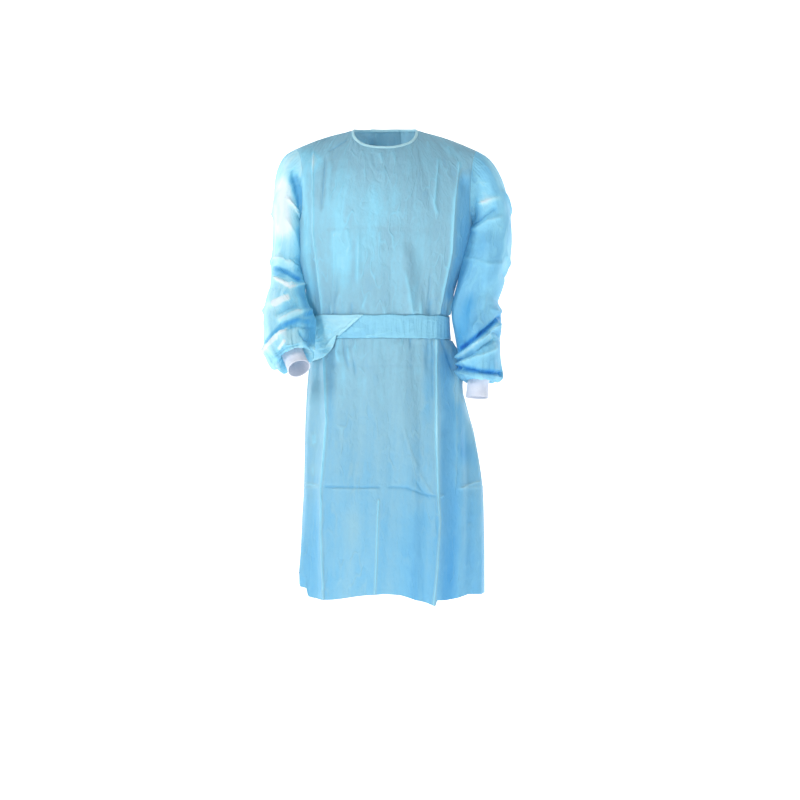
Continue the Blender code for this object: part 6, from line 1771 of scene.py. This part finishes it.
# %% Rib knit
def rib_knit(name):
    """Rib-knit polyester cotton: fine rows of stitches across the ribs, matt and a little fuzzy."""
    material, tree = shader_tree(name)
    uv = add(tree, "ShaderNodeUVMap", uv_map="cloth").outputs["UV"]
    rows = {"Vector": uv, "Scale": 110.0, "Distortion": 1.2, "Detail": 1.0, "Detail Scale": 4.0}
    stitch = add(tree, "ShaderNodeTexWave", rows, bands_direction="Y").outputs["Fac"]
    fuzz = cloth_noise(tree, (1800.0, 1800.0), 3.0, 0.7)
    patch = cloth_noise(tree, (60.0, 40.0), 3.0, 0.6)
    tone = maths(tree, "ADD", maths(tree, "MULTIPLY", stitch, 0.35), maths(tree, "MULTIPLY", patch, 0.5))
    colour = ramp(tree, tone, CUFF_STOPS)
    normal = bumps(tree, ((stitch, 0.5, 0.0004), (fuzz, 0.4, 0.0003)))
    face = add(tree, "ShaderNodeBsdfPrincipled", {
        "Base Color": colour, "Normal": normal, "Roughness": 0.85, "Specular IOR Level": 0.2,
        "Sheen Weight": 0.3, "Sheen Roughness": 0.6})
    add(tree, "ShaderNodeOutputMaterial", {"Surface": face.outputs[0]})
    return material

# %% Finishes
body_cloth = nonwoven("body nonwoven polypropylene", BODY_STOPS, 0.41, 0.16)
sleeve_cloth = nonwoven("sleeve nonwoven polypropylene", CLEAR_STOPS, 0.42, 0.26)
belt_cloth = nonwoven("doubled nonwoven polypropylene", CLEAR_STOPS, 0.35, 0.14)
opened_cloth = nonwoven("opened nonwoven polypropylene", CLEAR_STOPS, 0.22, 0.14)
binding_cloth = nonwoven("bias nonwoven polypropylene", CLEAR_STOPS, 0.16, 0.12)
knit = rib_knit("rib-knit polyester cotton")

# %% [markdown]
# ## Each piece in its place
# Each piece stands for a solid, which it hides, takes its finish and hangs from the root, and its area is
# printed beside the size that it was cut to.

# %% Each piece in its place
LAYOUT = (
    (front_sheet, "front", "front_cloth", body_cloth, (0.70, 1.16), "hung", "wearer_shoulders", 0.62),
    (back_sheets["right"], "back_right", "back_right_cloth", body_cloth,
     (0.40, 1.15), "hung", "wearer_shoulders", 0.36),
    (back_sheets["left"], "back_left", "back_left_cloth", body_cloth,
     (0.40, 1.15), "hung", "wearer_shoulders", 0.36),
    (sleeve_sheets["right"], "sleeve_right", "sleeve_right_cloth", sleeve_cloth,
     (0.44, 0.60), "gathered", "front", 0.22),
    (sleeve_sheets["left"], "sleeve_left", "sleeve_left_cloth", sleeve_cloth,
     (0.44, 0.60), "gathered", "front", 0.22),
    (cuffs["right"], "cuff_right", "cuff_knit", knit, (0.175, 0.112), "stretched", "sleeve_right", None),
    (cuffs["left"], "cuff_left", "cuff_knit", knit, (0.175, 0.112), "stretched", "sleeve_left", None),
    (binding, "neck_binding", "binding_cloth", binding_cloth, (0.56, 0.0105), "stretched", "front", None),
    (belt, "belt", "belt_cloth", belt_cloth, (0.50, 0.081), "folded", "front", None),
    (belt_opened, "belt_fold", "belt_cloth", opened_cloth, (0.36, 0.112), "folded", "front", None),
    (belt_knot, "belt_knot", "belt_cloth", belt_cloth, (0.052, 0.060), "folded", "back_left", None),
    (belt_tails[0], "belt_end_right", "belt_cloth", belt_cloth, (0.052, 0.24), "folded", "back_left", None),
    (belt_tails[1], "belt_end_left", "belt_cloth", belt_cloth, (0.052, 0.30), "folded", "back_left", None),
    (neck_knot, "neck_knot", "binding_cloth", binding_cloth, (0.021, 0.020), "folded", "back_left", None),
    (neck_tails[0], "neck_tie_right", "binding_cloth", binding_cloth,
     (0.0105, 0.160), "folded", "back_left", None),
    (neck_tails[1], "neck_tie_left", "binding_cloth", binding_cloth,
     (0.0105, 0.174), "folded", "back_left", None),
)
for piece, node, slot, material, flat, held, rests_on, area in LAYOUT:
    piece.data.materials.append(material)
    print(piece.name, "area", round(sum(face.area for face in piece.data.polygons), 4), "flat", flat)
    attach(piece, "root")
    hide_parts(node)

# %% [markdown]
# ## Studio
# A white sweep and large soft lamps, one of them behind each shoulder, give the pale rims of the sleeves,
# with painted light on their outer sides. The camera stands level with the gown's waist, straight in front,
# with a long lens. A picture of a studio could light the gown as well, but a lamp with a name can be moved by
# itself.

# %% Studio
FLOOR_HEIGHT = -1.625


def soft_light(name, place, target, size, watts):
    """A rectangular lamp, turned so that it faces its target."""
    lamp = bpy.data.lights.new(name, "AREA")
    lamp.shape = "RECTANGLE"
    lamp.size, lamp.size_y = size
    lamp.energy = watts
    item = bpy.data.objects.new(name, lamp)
    item.location = place
    away = np.array(place) - np.array(target)
    yaw = math.atan2(away[0], -away[1])
    pitch = math.atan2(math.hypot(away[0], away[1]), away[2])
    item.rotation_euler = (pitch, 0.0, yaw)
    bpy.context.collection.objects.link(item)


def set_inputs(node, values):
    """Sets inputs of a node that is already there."""
    for key, value in values.items():
        node.inputs[key].default_value = value


soft_light("key", (-2.3, -2.6, 1.2), (0.0, 0.0, -0.50), (0.9, 0.9), 62.0)
soft_light("fill", (2.6, -2.6, -0.3), (0.0, 0.0, -0.6), (1.6, 1.8), 16.0)
soft_light("rim_right", (-1.9, 1.1, 0.2), (-0.2, 0.0, -0.4), (0.8, 1.8), 18.0)
soft_light("rim_left", (1.9, 1.2, 0.2), (0.2, 0.0, -0.4), (0.8, 1.8), 16.0)

world = bpy.data.worlds.new("studio")
world.use_nodes = True
set_inputs(world.node_tree.nodes["Background"], {"Color": (1.0, 1.0, 1.0, 1.0), "Strength": 0.30})
bpy.context.scene.world = world

# The floor runs back to where it bends up into a wall
FLOOR_HALF_WIDTH = 14.0
FLOOR_FRONT = -9.0
SWEEP_START = 4.0
SWEEP_RADIUS = 3.0
SWEEP_TOP = 12.0
bend = np.linspace(0.0, math.pi / 2.0, 12)
bend_back = SWEEP_START + SWEEP_RADIUS * np.sin(bend)
bend_up = FLOOR_HEIGHT + SWEEP_RADIUS * (1.0 - np.cos(bend))
sweep = [(FLOOR_FRONT, FLOOR_HEIGHT), *zip(bend_back, bend_up), (SWEEP_START + SWEEP_RADIUS, SWEEP_TOP)]
floor_points = [(x, y, z) for y, z in sweep for x in (-FLOOR_HALF_WIDTH, FLOOR_HALF_WIDTH)]
floor_faces = [(2 * i, 2 * i + 1, 2 * i + 3, 2 * i + 2) for i in range(len(sweep) - 1)]
floor_mesh = bpy.data.meshes.new("floor")
floor_mesh.from_pydata(floor_points, [], floor_faces)
floor_mesh.shade_smooth()
floor = bpy.data.objects.new("floor", floor_mesh)
bpy.context.collection.objects.link(floor)
paper = bpy.data.materials.new("white paper")
paper.use_nodes = True
set_inputs(paper.node_tree.nodes["Principled BSDF"], {
    "Base Color": (0.95, 0.95, 0.95, 1.0), "Roughness": 0.9,
    "Emission Color": (1.0, 1.0, 1.0, 1.0), "Emission Strength": 0.75})
floor_mesh.materials.append(paper)

camera_data = bpy.data.cameras.new("camera")
camera_data.lens = 78.4
camera_data.sensor_width = 36.0
camera = bpy.data.objects.new("camera", camera_data)
camera.location = (0.0366, -4.25, -0.66)
camera.rotation_euler = (math.pi / 2.0, 0.0, 0.0)
bpy.context.collection.objects.link(camera)
bpy.context.scene.camera = camera
bpy.context.scene.view_settings.view_transform = "Standard"
bpy.context.scene.view_settings.look = "None"
